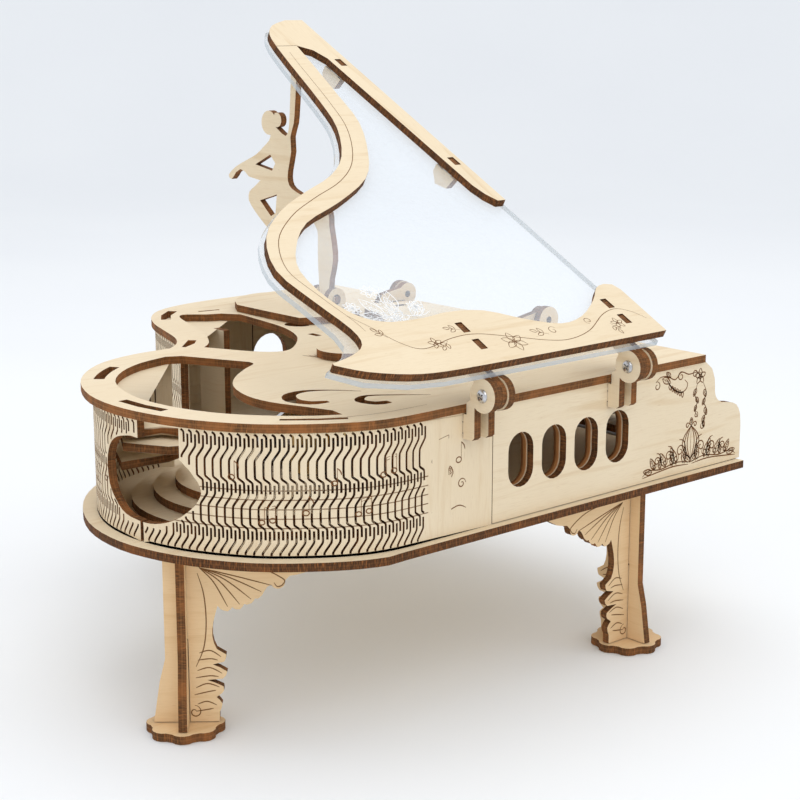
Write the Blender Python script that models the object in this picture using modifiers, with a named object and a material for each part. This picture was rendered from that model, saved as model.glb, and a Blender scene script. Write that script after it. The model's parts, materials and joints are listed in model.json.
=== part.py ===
"""Laser-cut plywood model of a grand piano with a music movement inside.

Design frame, in millimetres: X from the spine (bass) edge of the top board towards the
treble, Y from its front edge towards the tail, Z up.  Everything hangs on one empty,
which puts the middle of the model's footprint at the world origin.
"""
import math

import bmesh
import bpy
from mathutils import Matrix, Vector

MM = 0.001

# driving dimensions, in millimetres
PLY = 3.0                 # plywood thickness
GAP = 0.3                 # clearance between neighbouring pieces
FLOOR_Z = -22.0           # underside of the foot plates
BASE_Z = 41.16            # underside of the base board
TOP_Z = 87.0              # underside of the top board
WIDTH = 230.0             # spine edge to treble edge of the top board
ARM_Y = -25.4             # front end of the two keyboard arms
BASE_FRONT_Y = -23.8
WALL_INSET = 1.5          # top board edge to the outer face of the walls
BASE_OVERHANG = 2.0       # base board beyond the top board, on the straight sides
TAIL_OVERHANG = 3.6       # the same, round the tail
TAIL_DRAW_IN = 2.7        # how much closer skirt and base board run on the tail's far side
LID_ANGLE = 28.0          # opening angle at which the lid stands, degrees
HINGE_X = -8.0            # axis of the spine hinges
HINGE_Z = 94.0
HINGE_R = 6.0
SEAM_Y = 112.8            # joint between the stiff spine panel and the bent skirt
HINGE_YS = (49.6, 122.6)  # middle of each spine hinge
SCREW_R = 1.2
BORE_R = 1.5
ACRYLIC = 2.0
ACRYLIC_LIFT = 6.0        # hinge axis to the underside of the acrylic sheet
DESK_Y = 16.0             # axis of the music desk's hinges
DESK_Z = 96.2
DESK_R = 5.5
DESK_XS = (70.0, 160.0)
PROP_X = 165.2            # foot pivot of the dancer
PROP_Y = 54.0
PROP_Z = 97.4
FOOT_HALF = 3.4
PEG = 1.5                 # half the width of the dancer's foot pegs
PEG_BORE = 2.3
MOVEMENT_XY = (94.0, 120.0)
KEY_BANKS = 6
KEYS_PER_BANK = 5
KEY_ROD_Y = 7.5
KEY_ROD_Z = 53.0
# the middle of the footprint and the floor, in the design frame
CENTRE = (110.825, 98.37, FLOOR_Z)

BASE_TOP = BASE_Z + PLY


# ---------------------------------------------------------------- scene and helpers

def clear_scene():
    for ob in list(bpy.data.objects):
        bpy.data.objects.remove(ob, do_unlink=True)


def collection(name):
    col = bpy.data.collections.new(name)
    bpy.context.scene.collection.children.link(col)
    return col


clear_scene()
PARTS = collection("wooden_grand_piano")
CUTTERS = collection("cutters")


def empty(name, location, parent=None, rotation=(0, 0, 0)):
    ob = bpy.data.objects.new(name, None)
    ob.empty_display_size = 0.02
    ob.location = [v * MM for v in location]
    ob.rotation_euler = [math.radians(a) for a in rotation]
    ob.parent = parent
    PARTS.objects.link(ob)
    return ob


def material(name, colour, roughness=0.6, metallic=0.0, alpha=1.0):
    mat = bpy.data.materials.new(name)
    mat.use_nodes = True
    shader = mat.node_tree.nodes["Principled BSDF"]
    shader.inputs["Base Color"].default_value = (*colour, 1.0)
    shader.inputs["Roughness"].default_value = roughness
    shader.inputs["Metallic"].default_value = metallic
    shader.inputs["Alpha"].default_value = alpha
    return mat


BIRCH = material("basswood_ply", (0.83, 0.68, 0.46))
CLEAR = material("clear_acrylic", (0.92, 0.96, 0.97), 0.05, 0.0, 0.25)
STEEL = material("steel", (0.55, 0.55, 0.56), 0.3, 1.0)
BRASS = material("brass", (0.72, 0.53, 0.22), 0.3, 1.0)

ORIGIN = empty("model_origin", [-v for v in CENTRE])


def arc(centre, radius, start, end, steps):
    """Points on an arc, angles in degrees."""
    angles = [math.radians(start + (end - start) * k / steps) for k in range(steps + 1)]
    return [(centre[0] + radius * math.cos(a), centre[1] + radius * math.sin(a)) for a in angles]


def disc(centre, radius, steps=24):
    return arc(centre, radius, 0, 360, steps)[:-1]


def box(x0, y0, x1, y1):
    return [(x0, y0), (x1, y0), (x1, y1), (x0, y1)]


def smooth(points, steps=4, closed=False):
    """A Catmull-Rom curve through the points."""
    count = len(points)
    spans = count if closed else count - 1
    result = []
    for i in range(spans):
        if closed:
            p0, p1, p2, p3 = (Vector(points[(i + k) % count]) for k in (-1, 0, 1, 2))
        else:
            p0, p1, p2, p3 = (Vector(points[min(max(i + k, 0), count - 1)]) for k in (-1, 0, 1, 2))
        for k in range(steps):
            t = k / steps
            p = 0.5 * (2 * p1 + (p2 - p0) * t + (2 * p0 - 5 * p1 + 4 * p2 - p3) * t * t
                       + (3 * p1 - p0 - 3 * p2 + p3) * t ** 3)
            result.append((p.x, p.y))
    if not closed:
        result.append(tuple(points[-1]))
    return result


def offset(points, distance):
    """An open path moved sideways to its left, by one distance or by one for each point."""
    result = []
    last = len(points) - 1
    distances = distance if isinstance(distance, list) else [distance] * len(points)
    for i, (point, distance) in enumerate(zip(points, distances)):
        before = Vector(points[max(i - 1, 0)])
        after = Vector(points[min(i + 1, last)])
        along = (after - before).normalized()
        result.append((point[0] - along.y * distance, point[1] + along.x * distance))
    return result


def ribbon(points, widths):
    """A slot of changing width round a centre line."""
    half = [w / 2 for w in widths]
    left = []
    right = []
    last = len(points) - 1
    for i, point in enumerate(points):
        along = (Vector(points[min(i + 1, last)]) - Vector(points[max(i - 1, 0)])).normalized()
        left.append((point[0] - along.y * half[i], point[1] + along.x * half[i]))
        right.append((point[0] + along.y * half[i], point[1] - along.x * half[i]))
    return left + right[::-1]


def finish(name, mesh, mat, parent, location, rotation):
    ob = bpy.data.objects.new(name, mesh)
    ob.parent = parent or ORIGIN
    ob.location = [v * MM for v in location]
    ob.rotation_euler = [math.radians(a) for a in rotation]
    PARTS.objects.link(ob)
    mesh.materials.clear()
    mesh.materials.append(mat)
    return ob


def sheet_mesh(name, loops, thickness):
    """A flat outline with holes, cut from a sheet whose underside is at local Z 0.

    The curve is drawn one unit to the millimetre, then the mesh is brought down to metres.
    """
    curve = bpy.data.curves.new(name, "CURVE")
    curve.dimensions = "2D"
    curve.fill_mode = "BOTH"
    curve.extrude = thickness / 2
    for loop in loops:
        spline = curve.splines.new("POLY")
        spline.points.add(len(loop) - 1)
        for point, (x, y) in zip(spline.points, loop):
            point.co = (x, y, 0, 1)
        spline.use_cyclic_u = True
    holder = bpy.data.objects.new(name + "_curve", curve)
    PARTS.objects.link(holder)
    graph = bpy.context.evaluated_depsgraph_get()
    mesh = bpy.data.meshes.new_from_object(holder.evaluated_get(graph))
    mesh.transform(Matrix.Diagonal((MM, MM, MM, 1)) @ Matrix.Translation((0, 0, thickness / 2)))
    bpy.data.objects.remove(holder, do_unlink=True)
    bpy.data.curves.remove(curve)
    bm = bmesh.new()
    bm.from_mesh(mesh)
    bmesh.ops.remove_doubles(bm, verts=bm.verts, dist=1e-6)
    bmesh.ops.recalc_face_normals(bm, faces=bm.faces)
    bm.to_mesh(mesh)
    bm.free()
    mesh.name = name
    mesh.shade_smooth()
    mesh.set_sharp_from_angle(angle=math.radians(30))
    return mesh


def flat(name, loops, z, thickness=PLY, mat=BIRCH, parent=None, xy=(0, 0), turn=0):
    """A plate lying level, underside at z."""
    mesh = sheet_mesh(name, loops, thickness)
    return finish(name, mesh, mat, parent, (xy[0], xy[1], z), (0, 0, turn))


def side(name, loops, x, thickness=PLY, mat=BIRCH, parent=None):
    """A plate standing along Y: its outline is in (Y, Z), its bass face at x."""
    return finish(name, sheet_mesh(name, loops, thickness), mat, parent, (x, 0, 0), (90, 0, 90))


def across(name, loops, y, thickness=PLY, mat=BIRCH, parent=None):
    """A plate standing along X: its outline is in (X, Z), its tail face at y."""
    return finish(name, sheet_mesh(name, loops, thickness), mat, parent, (0, y, 0), (90, 0, 0))


def turned(name, profile, mat, location, rotation=(0, 0, 0), parent=None, steps=24):
    """A turned piece: (radius, height) points from the top axis point to the bottom one."""
    mesh = bpy.data.meshes.new(name)
    bm = bmesh.new()
    verts = [bm.verts.new((r * MM, 0, z * MM)) for r, z in profile]
    for a, b in zip(verts, verts[1:]):
        bm.edges.new((a, b))
    bm.to_mesh(mesh)
    bm.free()
    mesh.shade_smooth()
    mesh.set_sharp_from_angle(angle=math.radians(30))
    ob = finish(name, mesh, mat, parent, location, rotation)
    screw = ob.modifiers.new("Screw", "SCREW")
    screw.steps = screw.render_steps = steps
    screw.use_merge_vertices = True
    screw.merge_threshold = 0.00001
    return ob


def cut(target, cutter):
    cutter.hide_render = True
    cutter.display_type = "WIRE"
    PARTS.objects.unlink(cutter)
    CUTTERS.objects.link(cutter)
    boolean = target.modifiers.new("Cut", "BOOLEAN")
    boolean.operation = "DIFFERENCE"
    boolean.object = cutter


# ---------------------------------------------------------------- outlines of the body

NOTCH = (147.0, 148.0)

def tail_curve():
    """Edge of the top board round the tail lobe, spine to notch."""
    return smooth([(0.0, 140.0), (0.3, 158.0), (4.0, 171.5), (12.5, 185.5), (25.0, 199.5), (42.0, 210.3),
                   (59.0, 216.2), (77.0, 218.3), (96.0, 215.8), (115.5, 207.6), (130.5, 196.0),
                   (141.5, 181.5), (146.6, 164.5), NOTCH], 3)


def bent_curve():
    """Edge of the top board round the treble lobe, notch to the straight treble side."""
    return smooth([NOTCH, (153.5, 140.5), (164.0, 134.0), (180.0, 128.4), (196.0, 122.8), (210.5, 114.8),
                   (221.5, 103.8), (227.6, 89.0), (229.8, 72.0), (WIDTH, 50.0)], 3)


TAIL = tail_curve()
BENT = bent_curve()


def far_side(point):
    """0 on the spine side of the tail lobe, rising to 1 on its far side, where the body draws in."""
    return min(max((point[0] - 66.0) / 52.0, 0.0), 1.0)


def tail_wall_path():
    """Outer face of the skirts round the tail lobe."""
    return offset(TAIL, [-WALL_INSET - TAIL_DRAW_IN * far_side(p) for p in TAIL])


def tail_opening():
    outer = smooth([(15.6, 168.6), (20.5, 177.0), (29.4, 186.9), (42.0, 196.8), (58.0, 203.4),
                    (76.0, 205.8),
                    (93.0, 203.4), (109.0, 197.2), (122.0, 186.0), (130.6, 172.5), (134.4, 158.5)], 3)
    tongue = smooth([(105.4, 140.5), (101.2, 141.4), (96.0, 149.2), (86.0, 161.2), (74.0, 170.4),
                     (59.0, 175.6),
                     (46.0, 175.4), (33.3, 171.1), (22.5, 167.3)], 3)
    return outer + [(131.5, 153.0)] + tongue


def treble_opening():
    bottom = smooth([(190.5, 82.0), (172.0, 84.0), (153.0, 87.0), (136.0, 93.8), (124.0, 103.0),
                     (114.5, 113.6),
                     (114.2, 120.6), (121.0, 127.2), (131.2, 132.4)], 3)
    top = smooth([(140.1, 136.6), (147.0, 129.4), (162.4, 120.4), (179.0, 113.8), (196.0, 108.4),
                  (204.8, 104.0), (205.6, 99.6), (200.0, 93.0), (197.6, 87.0)], 3)
    return bottom + top


def top_board_slots():
    scroll_a = ribbon(smooth([(33.6, 160.0), (36.0, 166.0), (43.0, 168.2), (50.2, 163.8), (51.6, 156.0),
                              (46.6, 148.0), (38.6, 141.2)], 3),
                      [2.4, 3.6, 4.6, 5.0, 5.2, 5.4, 5.6, 5.4, 5.0, 4.6, 4.0, 3.4, 2.8, 2.2, 1.6, 1.2, 0.9,
                       0.7,
                       0.4])
    scroll_b = ribbon(smooth([(19.8, 144.4), (21.0, 149.4), (27.0, 151.2), (31.2, 147.2), (30.4, 141.6),
                              (18.4, 126.8)], 3),
                      [3.2, 4.2, 4.8, 4.8, 4.4, 4.2, 4.0, 3.6, 3.2, 2.8, 2.4, 2.0, 1.6, 1.2, 0.8, 0.4])
    curved_slot = ribbon(arc((76.0, 148.0), 65.4, 52, 33, 6), [4.0] * 7)
    tail_slot = ribbon([(59.3, 209.4), (70.0, 211.4), (81.4, 211.8)], [3.6] * 3)
    spine_slot = ribbon([(10.4, 170.6), (15.6, 179.4), (23.4, 188.8)], [2.2] * 3)
    bent_slot = ribbon([(201.0, 113.6), (209.6, 107.8), (216.6, 99.6)], [4.2] * 3)
    neck_slot = ribbon([(145.6, 142.6), (150.4, 136.2), (155.2, 131.8)], [1.6, 3.8, 3.4])
    thin_slot = ribbon([(206.2, 82.0), (208.4, 91.6)], [1.6] * 2)
    heart = smooth([(151.6, 81.6), (156.6, 83.6), (160.4, 80.0), (157.4, 76.2), (150.6, 75.2),
                    (149.4, 78.6)],
                   2, True)
    small_slot = box(129.0, 86.0, 135.0, 88.8)
    return [scroll_a, scroll_b, curved_slot, tail_slot, spine_slot, bent_slot, neck_slot, thin_slot,
            heart, small_slot]


def top_board():
    outline = [(0.0, 0.0)] + TAIL[:-1] + BENT + [(WIDTH, 0.0)]
    flat("top_board", [outline, tail_opening(), treble_opening()] + top_board_slots(), TOP_Z)


def base_board():
    lobe = TAIL[4:-2]
    tail = offset(lobe, [TAIL_OVERHANG - TAIL_DRAW_IN * far_side(p) for p in lobe])
    bent = offset(BENT[3:-3], TAIL_OVERHANG)
    outline = [(-BASE_OVERHANG, BASE_FRONT_Y), (-BASE_OVERHANG, 156.0)] + tail
    side_x = WIDTH + BASE_OVERHANG
    outline += [(151.6, 152.4)] + bent + [(side_x, 50.0), (side_x, BASE_FRONT_Y)]
    key_hole = disc(MOVEMENT_XY, 4.0, 16)
    flat("base_board", [outline, key_hole], BASE_Z)


# ---------------------------------------------------------------- walls

WALL_Z = BASE_TOP + GAP
WALL_TOP = TOP_Z - GAP


def arm_outline(rear_y):
    """Side panel with its stepped keyboard arm, in (Y, Z)."""
    step = smooth([(-6.0, 83.6), (-8.0, 79.0), (-8.4, 74.0), (-9.6, 71.2), (-12.6, 69.2), (-18.0, 68.3),
                   (-22.4, 66.6), (-24.8, 62.6), (ARM_Y, 57.0)], 2)
    return [(rear_y, WALL_Z), (rear_y, WALL_TOP), (-2.0, WALL_TOP)] + step + [(ARM_Y, WALL_Z)]


def stadium(centre, width, height):
    r = width / 2
    rise = height / 2 - r
    upper = arc((centre[0], centre[1] + rise), r, 0, 180, 10)
    lower = arc((centre[0], centre[1] - rise), r, 180, 360, 10)
    return upper + lower


def bracket_slots(y_middle):
    """Slots in the spine panel for the tenons of one hinge's two brackets."""
    loops = []
    for shift in (-PLY - GAP, PLY + GAP):
        y = y_middle + shift
        loops.append(box(y - PLY / 2 - GAP / 2, 79.4, y + PLY / 2 + GAP / 2, 83.6))
    return loops


def spine_panel():
    holes = [stadium((48.3 + 16.9 * k, 65.3), 12.5, 20.0) for k in range(4)]
    slots = bracket_slots(HINGE_YS[0])
    side("spine_panel", [arm_outline(SEAM_Y)] + holes + slots, WALL_INSET)


def treble_panel():
    arch = [(30.0, 51.0)] + [(49.6, 51.0)] + arc((39.8, 61.6), 9.8, 0, 180, 12)
    side("treble_panel", [arm_outline(49.4), arch], WIDTH - WALL_INSET - PLY)


def wall_strip(name, path):
    """A bent wall: a band of ply under the path, which is its outer face."""
    band = path + offset(path, -PLY)[::-1]
    return flat(name, [band], WALL_Z, WALL_TOP - WALL_Z)


def tail_walls():
    """Two flexible skirts meet in a seam at the tail, with a round hole through both."""
    outer = [(WALL_INSET, SEAM_Y + GAP)] + tail_wall_path()
    seam = 20
    near = wall_strip("tail_skirt_spine", outer[:seam + 1])
    shift = Vector((outer[seam + 1][0] - outer[seam][0], outer[seam + 1][1] - outer[seam][1]))
    start = Vector(outer[seam]) + shift.normalized() * 1.8 * GAP
    far_end = [(142.8, 152.0)]
    far = wall_strip("tail_skirt_far", [tuple(start)] + outer[seam + 1:-2] + far_end)
    for number, skirt in enumerate((near, far)):
        cut(skirt, tail_hole_cutter(number))
    slots = [box(HINGE_YS[1] + s - PLY / 2 - GAP / 2, 79.4, HINGE_YS[1] + s + PLY / 2 + GAP / 2, 83.6)
             for s in (-PLY - GAP, PLY + GAP)]
    for number, slot in enumerate(slots):
        cut(near, side("bracket_slot_%d" % number, [slot], WALL_INSET - 1, PLY + 2))


def tail_hole_cutter(number):
    """A round window with an open notch above it, along the radius at 101 degrees."""
    round_edge = smooth([(-9.0, 80.2), (-18.0, 77.4), (-23.6, 70.4), (-22.8, 60.4), (-14.0, 53.0), (-3.0, 51.2),
                         (4.0, 51.6), (13.0, 54.6), (20.6, 60.6), (22.6, 66.0), (19.4, 71.4), (15.0, 75.4)],
                        3)
    # above the window the spine-side skirt is open to its top edge
    notch = [(15.0, 88.0), (-9.0, 88.0)] if number == 0 else [(9.0, 80.4)]
    window = round_edge + notch
    mesh = sheet_mesh("tail_window_%d" % number, [window], 40.0)
    ob = finish("tail_window_%d" % number, mesh, BIRCH, None, (0, 0, 0), (0, 0, 0))
    spin = Matrix.Rotation(math.radians(11.0), 4, "Z")
    upright = Matrix(((-1, 0, 0), (0, 0, 1), (0, 1, 0))).to_4x4()
    place = Matrix.Translation((76.0 * MM, 148.0 * MM, 0)) @ spin @ Matrix.Translation((0, 40.0 * MM, 0))
    ob.matrix_local = place @ upright
    return ob


def bentside_wall():
    outer = offset(BENT, -WALL_INSET)
    wall_strip("bentside_skirt", [(149.8, 141.4)] + outer[3:-1] + [(WIDTH - WALL_INSET, 50.0)])


def front_pieces():
    left = WALL_INSET + PLY + GAP
    right = WIDTH - WALL_INSET - PLY - GAP
    across("front_bulkhead", [box(left, 61.0, right, WALL_TOP)], 1.5)
    slip = box(left, WALL_Z, right, WALL_Z + 7.0)
    across("key_slip", [slip], ARM_Y + 3.6)
    across("inner_post", [box(178.0, WALL_Z, 196.0, WALL_TOP)], 100.0)


def hinge_parts():
    """Two spine hinges: on each, two brackets on the wall and a screw through the lid's lug."""
    for label, y in zip(("front", "rear"), HINGE_YS):
        stem = [(-4.2, 78.6), (-3.0, 77.6), (WALL_INSET - GAP, 77.6), (WALL_INSET - GAP, 79.7),
                (WALL_INSET + 2.4, 79.7), (WALL_INSET + 2.4, 83.3), (WALL_INSET - GAP, 83.3),
                (WALL_INSET - GAP, 86.4), (-GAP, 86.4), (-GAP, 90.6), (-2.4, 91.8)]
        head = arc((HINGE_X, HINGE_Z), HINGE_R, -21.4, 309.3, 22)
        bore = disc((HINGE_X, HINGE_Z), BORE_R, 16)
        for place, shift in (("outer", PLY + GAP), ("inner", -PLY - GAP)):
            across("%s_hinge_bracket_%s" % (label, place), [stem[:-1] + head, bore], y + shift + PLY / 2)
        half = 1.5 * PLY + GAP
        profile = [(0, half + 1.1), (1.5, half + 1.0), (2.0, half + 0.7), (2.0, half + GAP),
                   (SCREW_R, half + GAP),
                   (SCREW_R, -half - GAP), (2.0, -half - GAP), (2.0, -half - 1.2), (0, -half - 1.2)]
        turned("%s_hinge_screw" % label, profile, STEEL, (HINGE_X, y, HINGE_Z), (-90, 0, 0), None, 12)


# ---------------------------------------------------------------- legs

LEG_TOP = BASE_Z - GAP
FOOT_TOP = FLOOR_Z + PLY


def leg_loops():
    """Ornate leg plate in (distance from the leg's axis, height above the foot plate)."""
    h = LEG_TOP - FOOT_TOP - GAP
    plain = [(-6.3, h), (-6.3, 23.0), (-8.4, 14.7), (-10.7, 0.0)]
    leaf = [(11.8, 0.0)] + smooth([(11.9, 3.5), (12.9, 6.6), (10.9, 8.9)], 2)
    leaf += smooth([(13.0, 10.4), (13.4, 12.8), (7.9, 15.2)], 2)
    leaf += smooth([(13.2, 15.6), (14.8, 18.2), (9.9, 20.8)], 2)
    leaf += smooth([(13.8, 21.8), (14.6, 24.4), (11.4, 26.4), (10.0, 31.0), (10.4, 36.0), (12.0, 41.9)], 2)
    fan = []
    for left, low, right in (((12.9, 40.7), (15.4, 39.9), (17.0, 41.4)), ((17.6, 40.8), (19.6, 40.6),
                                                                          (21.1, 42.5)),
                             ((21.8, 42.2), (23.6, 42.8), (24.7, 44.4)), ((25.6, 44.3), (27.0, 45.4),
                                                                          (27.8, 46.8))):
        fan += smooth([left, low, right], 2)
    fan += [(29.0, 48.6)] + arc((32.5, 50.3), 2.5, 205, 370, 8) + smooth([(36.6, 52.4), (42.0, 53.6),
                                                                          (49.0, 57.6)], 2)
    fan += [(50.0, h)]
    return plain + leaf + fan, h


def leg(name, x, y, turn):
    """Two identical plates slotted through each other, on a scalloped foot plate."""
    holder = empty(name + "_axis", (x, y, FOOT_TOP + GAP), ORIGIN, (0, 0, turn))
    outline, h = leg_loops()
    lap = PLY / 2 + GAP
    middle = h / 2
    # one plate is slotted from below, the other from above
    low = [p for p in outline if p[0] < 0] + [(-lap, 0.0), (-lap, middle + GAP), (lap, middle + GAP),
                                              (lap, 0.0)]
    low += [p for p in outline if p[0] > 0]
    high = outline + [(lap, h), (lap, middle - GAP), (-lap, middle - GAP), (-lap, h)]
    across(name + "_plate_a", [low], PLY / 2, parent=holder)
    side(name + "_plate_b", [high], -PLY / 2, parent=holder)
    lobes = []
    for k in range(8):
        turn_k = k * math.pi / 4
        lobes += arc((9.4 * math.cos(turn_k), 9.4 * math.sin(turn_k)), 4.2, 45 * k - 58, 45 * k + 58, 5)
    flat(name + "_foot", [lobes], -PLY - GAP, parent=holder)


def legs():
    leg("bass_leg", 7.9, 32.5, 0)
    leg("treble_leg", WIDTH - 7.9, 32.5, 90)
    leg("tail_leg", 53.3, 208.6, -130.0)


# ---------------------------------------------------------------- lid

LID_AXIS = empty("lid_axis", (HINGE_X, 0, HINGE_Z), ORIGIN, (0, -LID_ANGLE, 0))
LID_FAR = 236.0


def strip_inner():
    return smooth([(214.0, 60.6), (199.2, 62.9), (175.0, 67.2), (152.8, 71.8), (130.4, 83.9), (114.2, 97.4),
                   (101.0, 119.8), (90.5, 142.5), (77.3, 156.4), (64.0, 164.0), (47.3, 163.4),
                   (36.0, 157.8),
                   (31.4, 148.0), (31.0, 134.0), (32.0, 122.0), (30.0, 107.0), (21.8, 92.9), (16.6, 79.9),
                   (18.6, 67.4), (26.0, 54.4), (32.6, 46.4), (34.0, 41.0)], 3)


def strip_outer():
    return smooth([(214.0, 71.4), (199.0, 74.4), (169.7, 79.8), (150.0, 85.3), (130.0, 97.6),
                   (117.8, 112.0),
                   (108.6, 130.9), (98.9, 148.3), (84.8, 164.2), (66.0, 172.8), (47.7, 169.9),
                   (31.0, 166.0),
                   (22.6, 167.6), (18.4, 175.0), (16.2, 184.6)], 3)


def lid_slot(t, y):
    return box(t - 2.8, y - 1.6, t + 2.8, y + 1.6)


def lid_outline():
    bass = smooth([(15.2, 184.6), (9.6, 175.0), (5.0, 160.4), (3.3, 146.0), (3.0, 120.0)], 3)
    return strip_outer() + bass + [(3.4, 36.4), (29.5, 36.0), (33.0, 37.4)] + strip_inner()[::-1]


def lid():
    wood_z = ACRYLIC_LIFT + ACRYLIC + GAP
    slots = [lid_slot(t, y) for y in HINGE_YS for t in (13.4, 23.0)]
    flat("lid_panel", [lid_outline()] + slots, wood_z, parent=LID_AXIS)
    corner = smooth([(214.3, 71.3), (224.0, 68.2), (231.6, 61.6), (LID_FAR, 51.6)], 3) + [(LID_FAR, 42.4)]
    bar = [(92.0, 42.4), (92.0, 46.6), (97.0, 49.2), (103.6, 50.6), (203.0, 51.8), (210.0, 54.6),
           (214.3, 60.6)]
    flat("lid_front_bar", [corner + bar, lid_slot(120.9, 46.2), lid_slot(199.4, 47.2)], wood_z,
         parent=LID_AXIS)
    sheet = smooth([(231.0, 64.4), (216.0, 72.0), (170.0, 81.0), (150.6, 86.6), (131.0, 98.8),
                    (119.0, 113.0),
                    (109.8, 131.8), (100.0, 149.4), (85.6, 165.6), (66.0, 174.4), (47.0, 172.2),
                    (26.4, 171.0),
                    (16.0, 186.0)], 3)
    sheet += [(8.4, 176.2), (3.6, 160.8), (2.0, 146.0), (2.0, 40.4), (LID_FAR - 1.0, 40.8),
              (LID_FAR - 1.0, 52.0)]
    slots = [lid_slot(t, y) for y in HINGE_YS for t in (13.4, 23.0)]
    slots += [lid_slot(120.9, 46.2), lid_slot(199.4, 47.2)]
    flat("lid_acrylic", [sheet] + slots, ACRYLIC_LIFT, ACRYLIC, CLEAR, LID_AXIS)


def lid_lugs():
    """Each lug turns on a hinge screw and pegs up through the acrylic and the panel."""
    under = ACRYLIC_LIFT - GAP
    top = ACRYLIC_LIFT + ACRYLIC + GAP + PLY - 0.4
    for label, y in zip(("front", "rear"), HINGE_YS):
        head = arc((0, 0), HINGE_R - 0.6, 90, 300, 16)
        arm = [(5.6, -1.2), (17.0, 0.4), (27.4, 2.6), (27.4, under)]
        for t in (23.0, 13.4):
            arm += [(t + 2.4, under), (t + 2.4, top), (t - 2.4, top), (t - 2.4, under)]
        arm += [(4.0, under)]
        loops = [head + arm, disc((0, 0), BORE_R, 16)]
        across("lid_lug_%s" % label, loops, y + PLY / 2, parent=LID_AXIS)
    for label, t, y in (("bass", 120.9, 46.2), ("treble", 199.4, 47.2)):
        tooth = [(t - 4.6, under), (t - 2.4, under), (t - 2.4, top), (t + 2.4, top), (t + 2.4, under),
                 (t + 7.0, under), (t + 7.4, under - 3.4), (t + 4.0, under - 7.4), (t - 2.6, under - 5.6)]
        across("lid_catch_%s" % label, [tooth], y + PLY / 2, parent=LID_AXIS)


# ---------------------------------------------------------------- the dancer that props the lid

PROP = empty("prop_axis", (PROP_X, PROP_Y, PROP_Z), ORIGIN)


def dancer_outline():
    """Flat dancer in (X, Z) of the design frame: the raised hand ends under the lid, one foot has pegs."""
    under_lid = [(x, HINGE_Z + (ACRYLIC_LIFT / math.cos(math.radians(LID_ANGLE))) - 0.35
                  + (x - HINGE_X) * math.tan(math.radians(LID_ANGLE))) for x in (185.6, 182.0)]
    back = smooth([(183.5, 183.1), (184.1, 177.8), (185.0, 171.4), (187.5, 165.4), (187.1, 158.9),
                   (189.5, 150.5),
                   (189.6, 145.9), (186.8, 142.9), (178.8, 140.4), (168.0, 137.6), (161.9, 134.6),
                   (161.3, 128.9),
                   (159.6, 121.4), (159.0, 114.2), (161.3, 106.0)], 2)
    foot = [(PROP_X - FOOT_HALF, PROP_Z + 3.0), (PROP_X - FOOT_HALF, PROP_Z + PEG),
            (PROP_X - FOOT_HALF - 3.8, PROP_Z + PEG), (PROP_X - FOOT_HALF - 3.8, PROP_Z - PEG),
            (PROP_X - FOOT_HALF, PROP_Z - PEG), (PROP_X - FOOT_HALF, PROP_Z - 2.6),
            (PROP_X + FOOT_HALF, PROP_Z - 2.6), (PROP_X + FOOT_HALF, PROP_Z - PEG),
            (PROP_X + FOOT_HALF + 3.8, PROP_Z - PEG), (PROP_X + FOOT_HALF + 3.8, PROP_Z + PEG),
            (PROP_X + FOOT_HALF, PROP_Z + PEG), (PROP_X + FOOT_HALF, PROP_Z + 3.0)]
    front = smooth([(168.7, 104.0), (169.2, 112.0), (169.3, 120.0), (169.4, 126.4), (173.8, 130.6),
                    (180.6, 131.6),
                    (187.0, 130.0), (193.6, 127.8)], 2)
    raised_foot = smooth([(195.6, 123.6), (198.8, 120.2), (202.2, 121.6)], 2)
    shin = smooth([(205.4, 124.5), (209.4, 127.2), (214.4, 131.0), (218.6, 135.4), (218.0, 139.3),
                   (214.4, 141.7)], 2)
    thigh = [(209.7, 144.9), (218.3, 146.0), (221.3, 148.1), (224.6, 148.9)]
    hand = smooth([(228.0, 147.2), (231.4, 143.9), (233.6, 145.7), (228.0, 149.8), (219.6, 153.3),
                   (212.4, 156.3),
                   (207.2, 159.8), (202.8, 163.0), (201.6, 165.6)], 2)
    head = arc((202.8, 170.7), 5.3, -92, 140, 14) + arc((197.0, 172.2), 3.2, 60, 290, 10)
    near_arm = smooth([(195.4, 167.6), (191.0, 165.6), (188.8, 168.0), (188.0, 173.0), (187.4, 180.0)], 2)
    return under_lid + back + foot + front + raised_foot + shin + thigh + hand + head + near_arm


def dancer():
    """The dancer stands on two pegs, which turn in the ears so that the figure can lie down."""
    under_arm = [(202.2, 156.8), (213.2, 151.8), (201.0, 149.8), (198.6, 153.2)]
    under_knee = [(197.8, 139.6), (210.2, 136.0), (202.4, 129.6), (199.0, 131.2)]
    figure = [[(x - PROP_X, z - PROP_Z) for x, z in loop] for loop in (dancer_outline(), under_arm,
                                                                       under_knee)]
    across("dancer_prop", figure, PLY / 2, parent=PROP)
    base = smooth([(152.0, 79.4), (174.0, 79.8), (196.0, 79.6)], 1)
    base += smooth([(204.0, 75.0), (211.6, 67.0), (215.0, 57.0), (213.0, 48.0), (204.0, 44.6)], 3)
    base += smooth([(160.0, 44.6), (150.4, 48.0), (147.0, 58.0), (147.6, 70.0)], 3)
    z = TOP_Z + PLY + GAP
    flat("prop_base", [base], z)
    foot_z = z + PLY + GAP
    for label, x in (("treble", PROP_X + FOOT_HALF + GAP), ("bass", PROP_X - FOOT_HALF - GAP - PLY)):
        ear = [(PROP_Y - 5.6, foot_z), (PROP_Y + 5.6, foot_z)] + arc((PROP_Y, PROP_Z), 5.0, 0, 180, 12)
        side("prop_ear_%s" % label, [ear, disc((PROP_Y, PROP_Z), PEG_BORE, 14)], x)
    flat("top_button", [disc((89.4, 105.1), 12.0, 36)], z)


# ---------------------------------------------------------------- music desk

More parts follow.
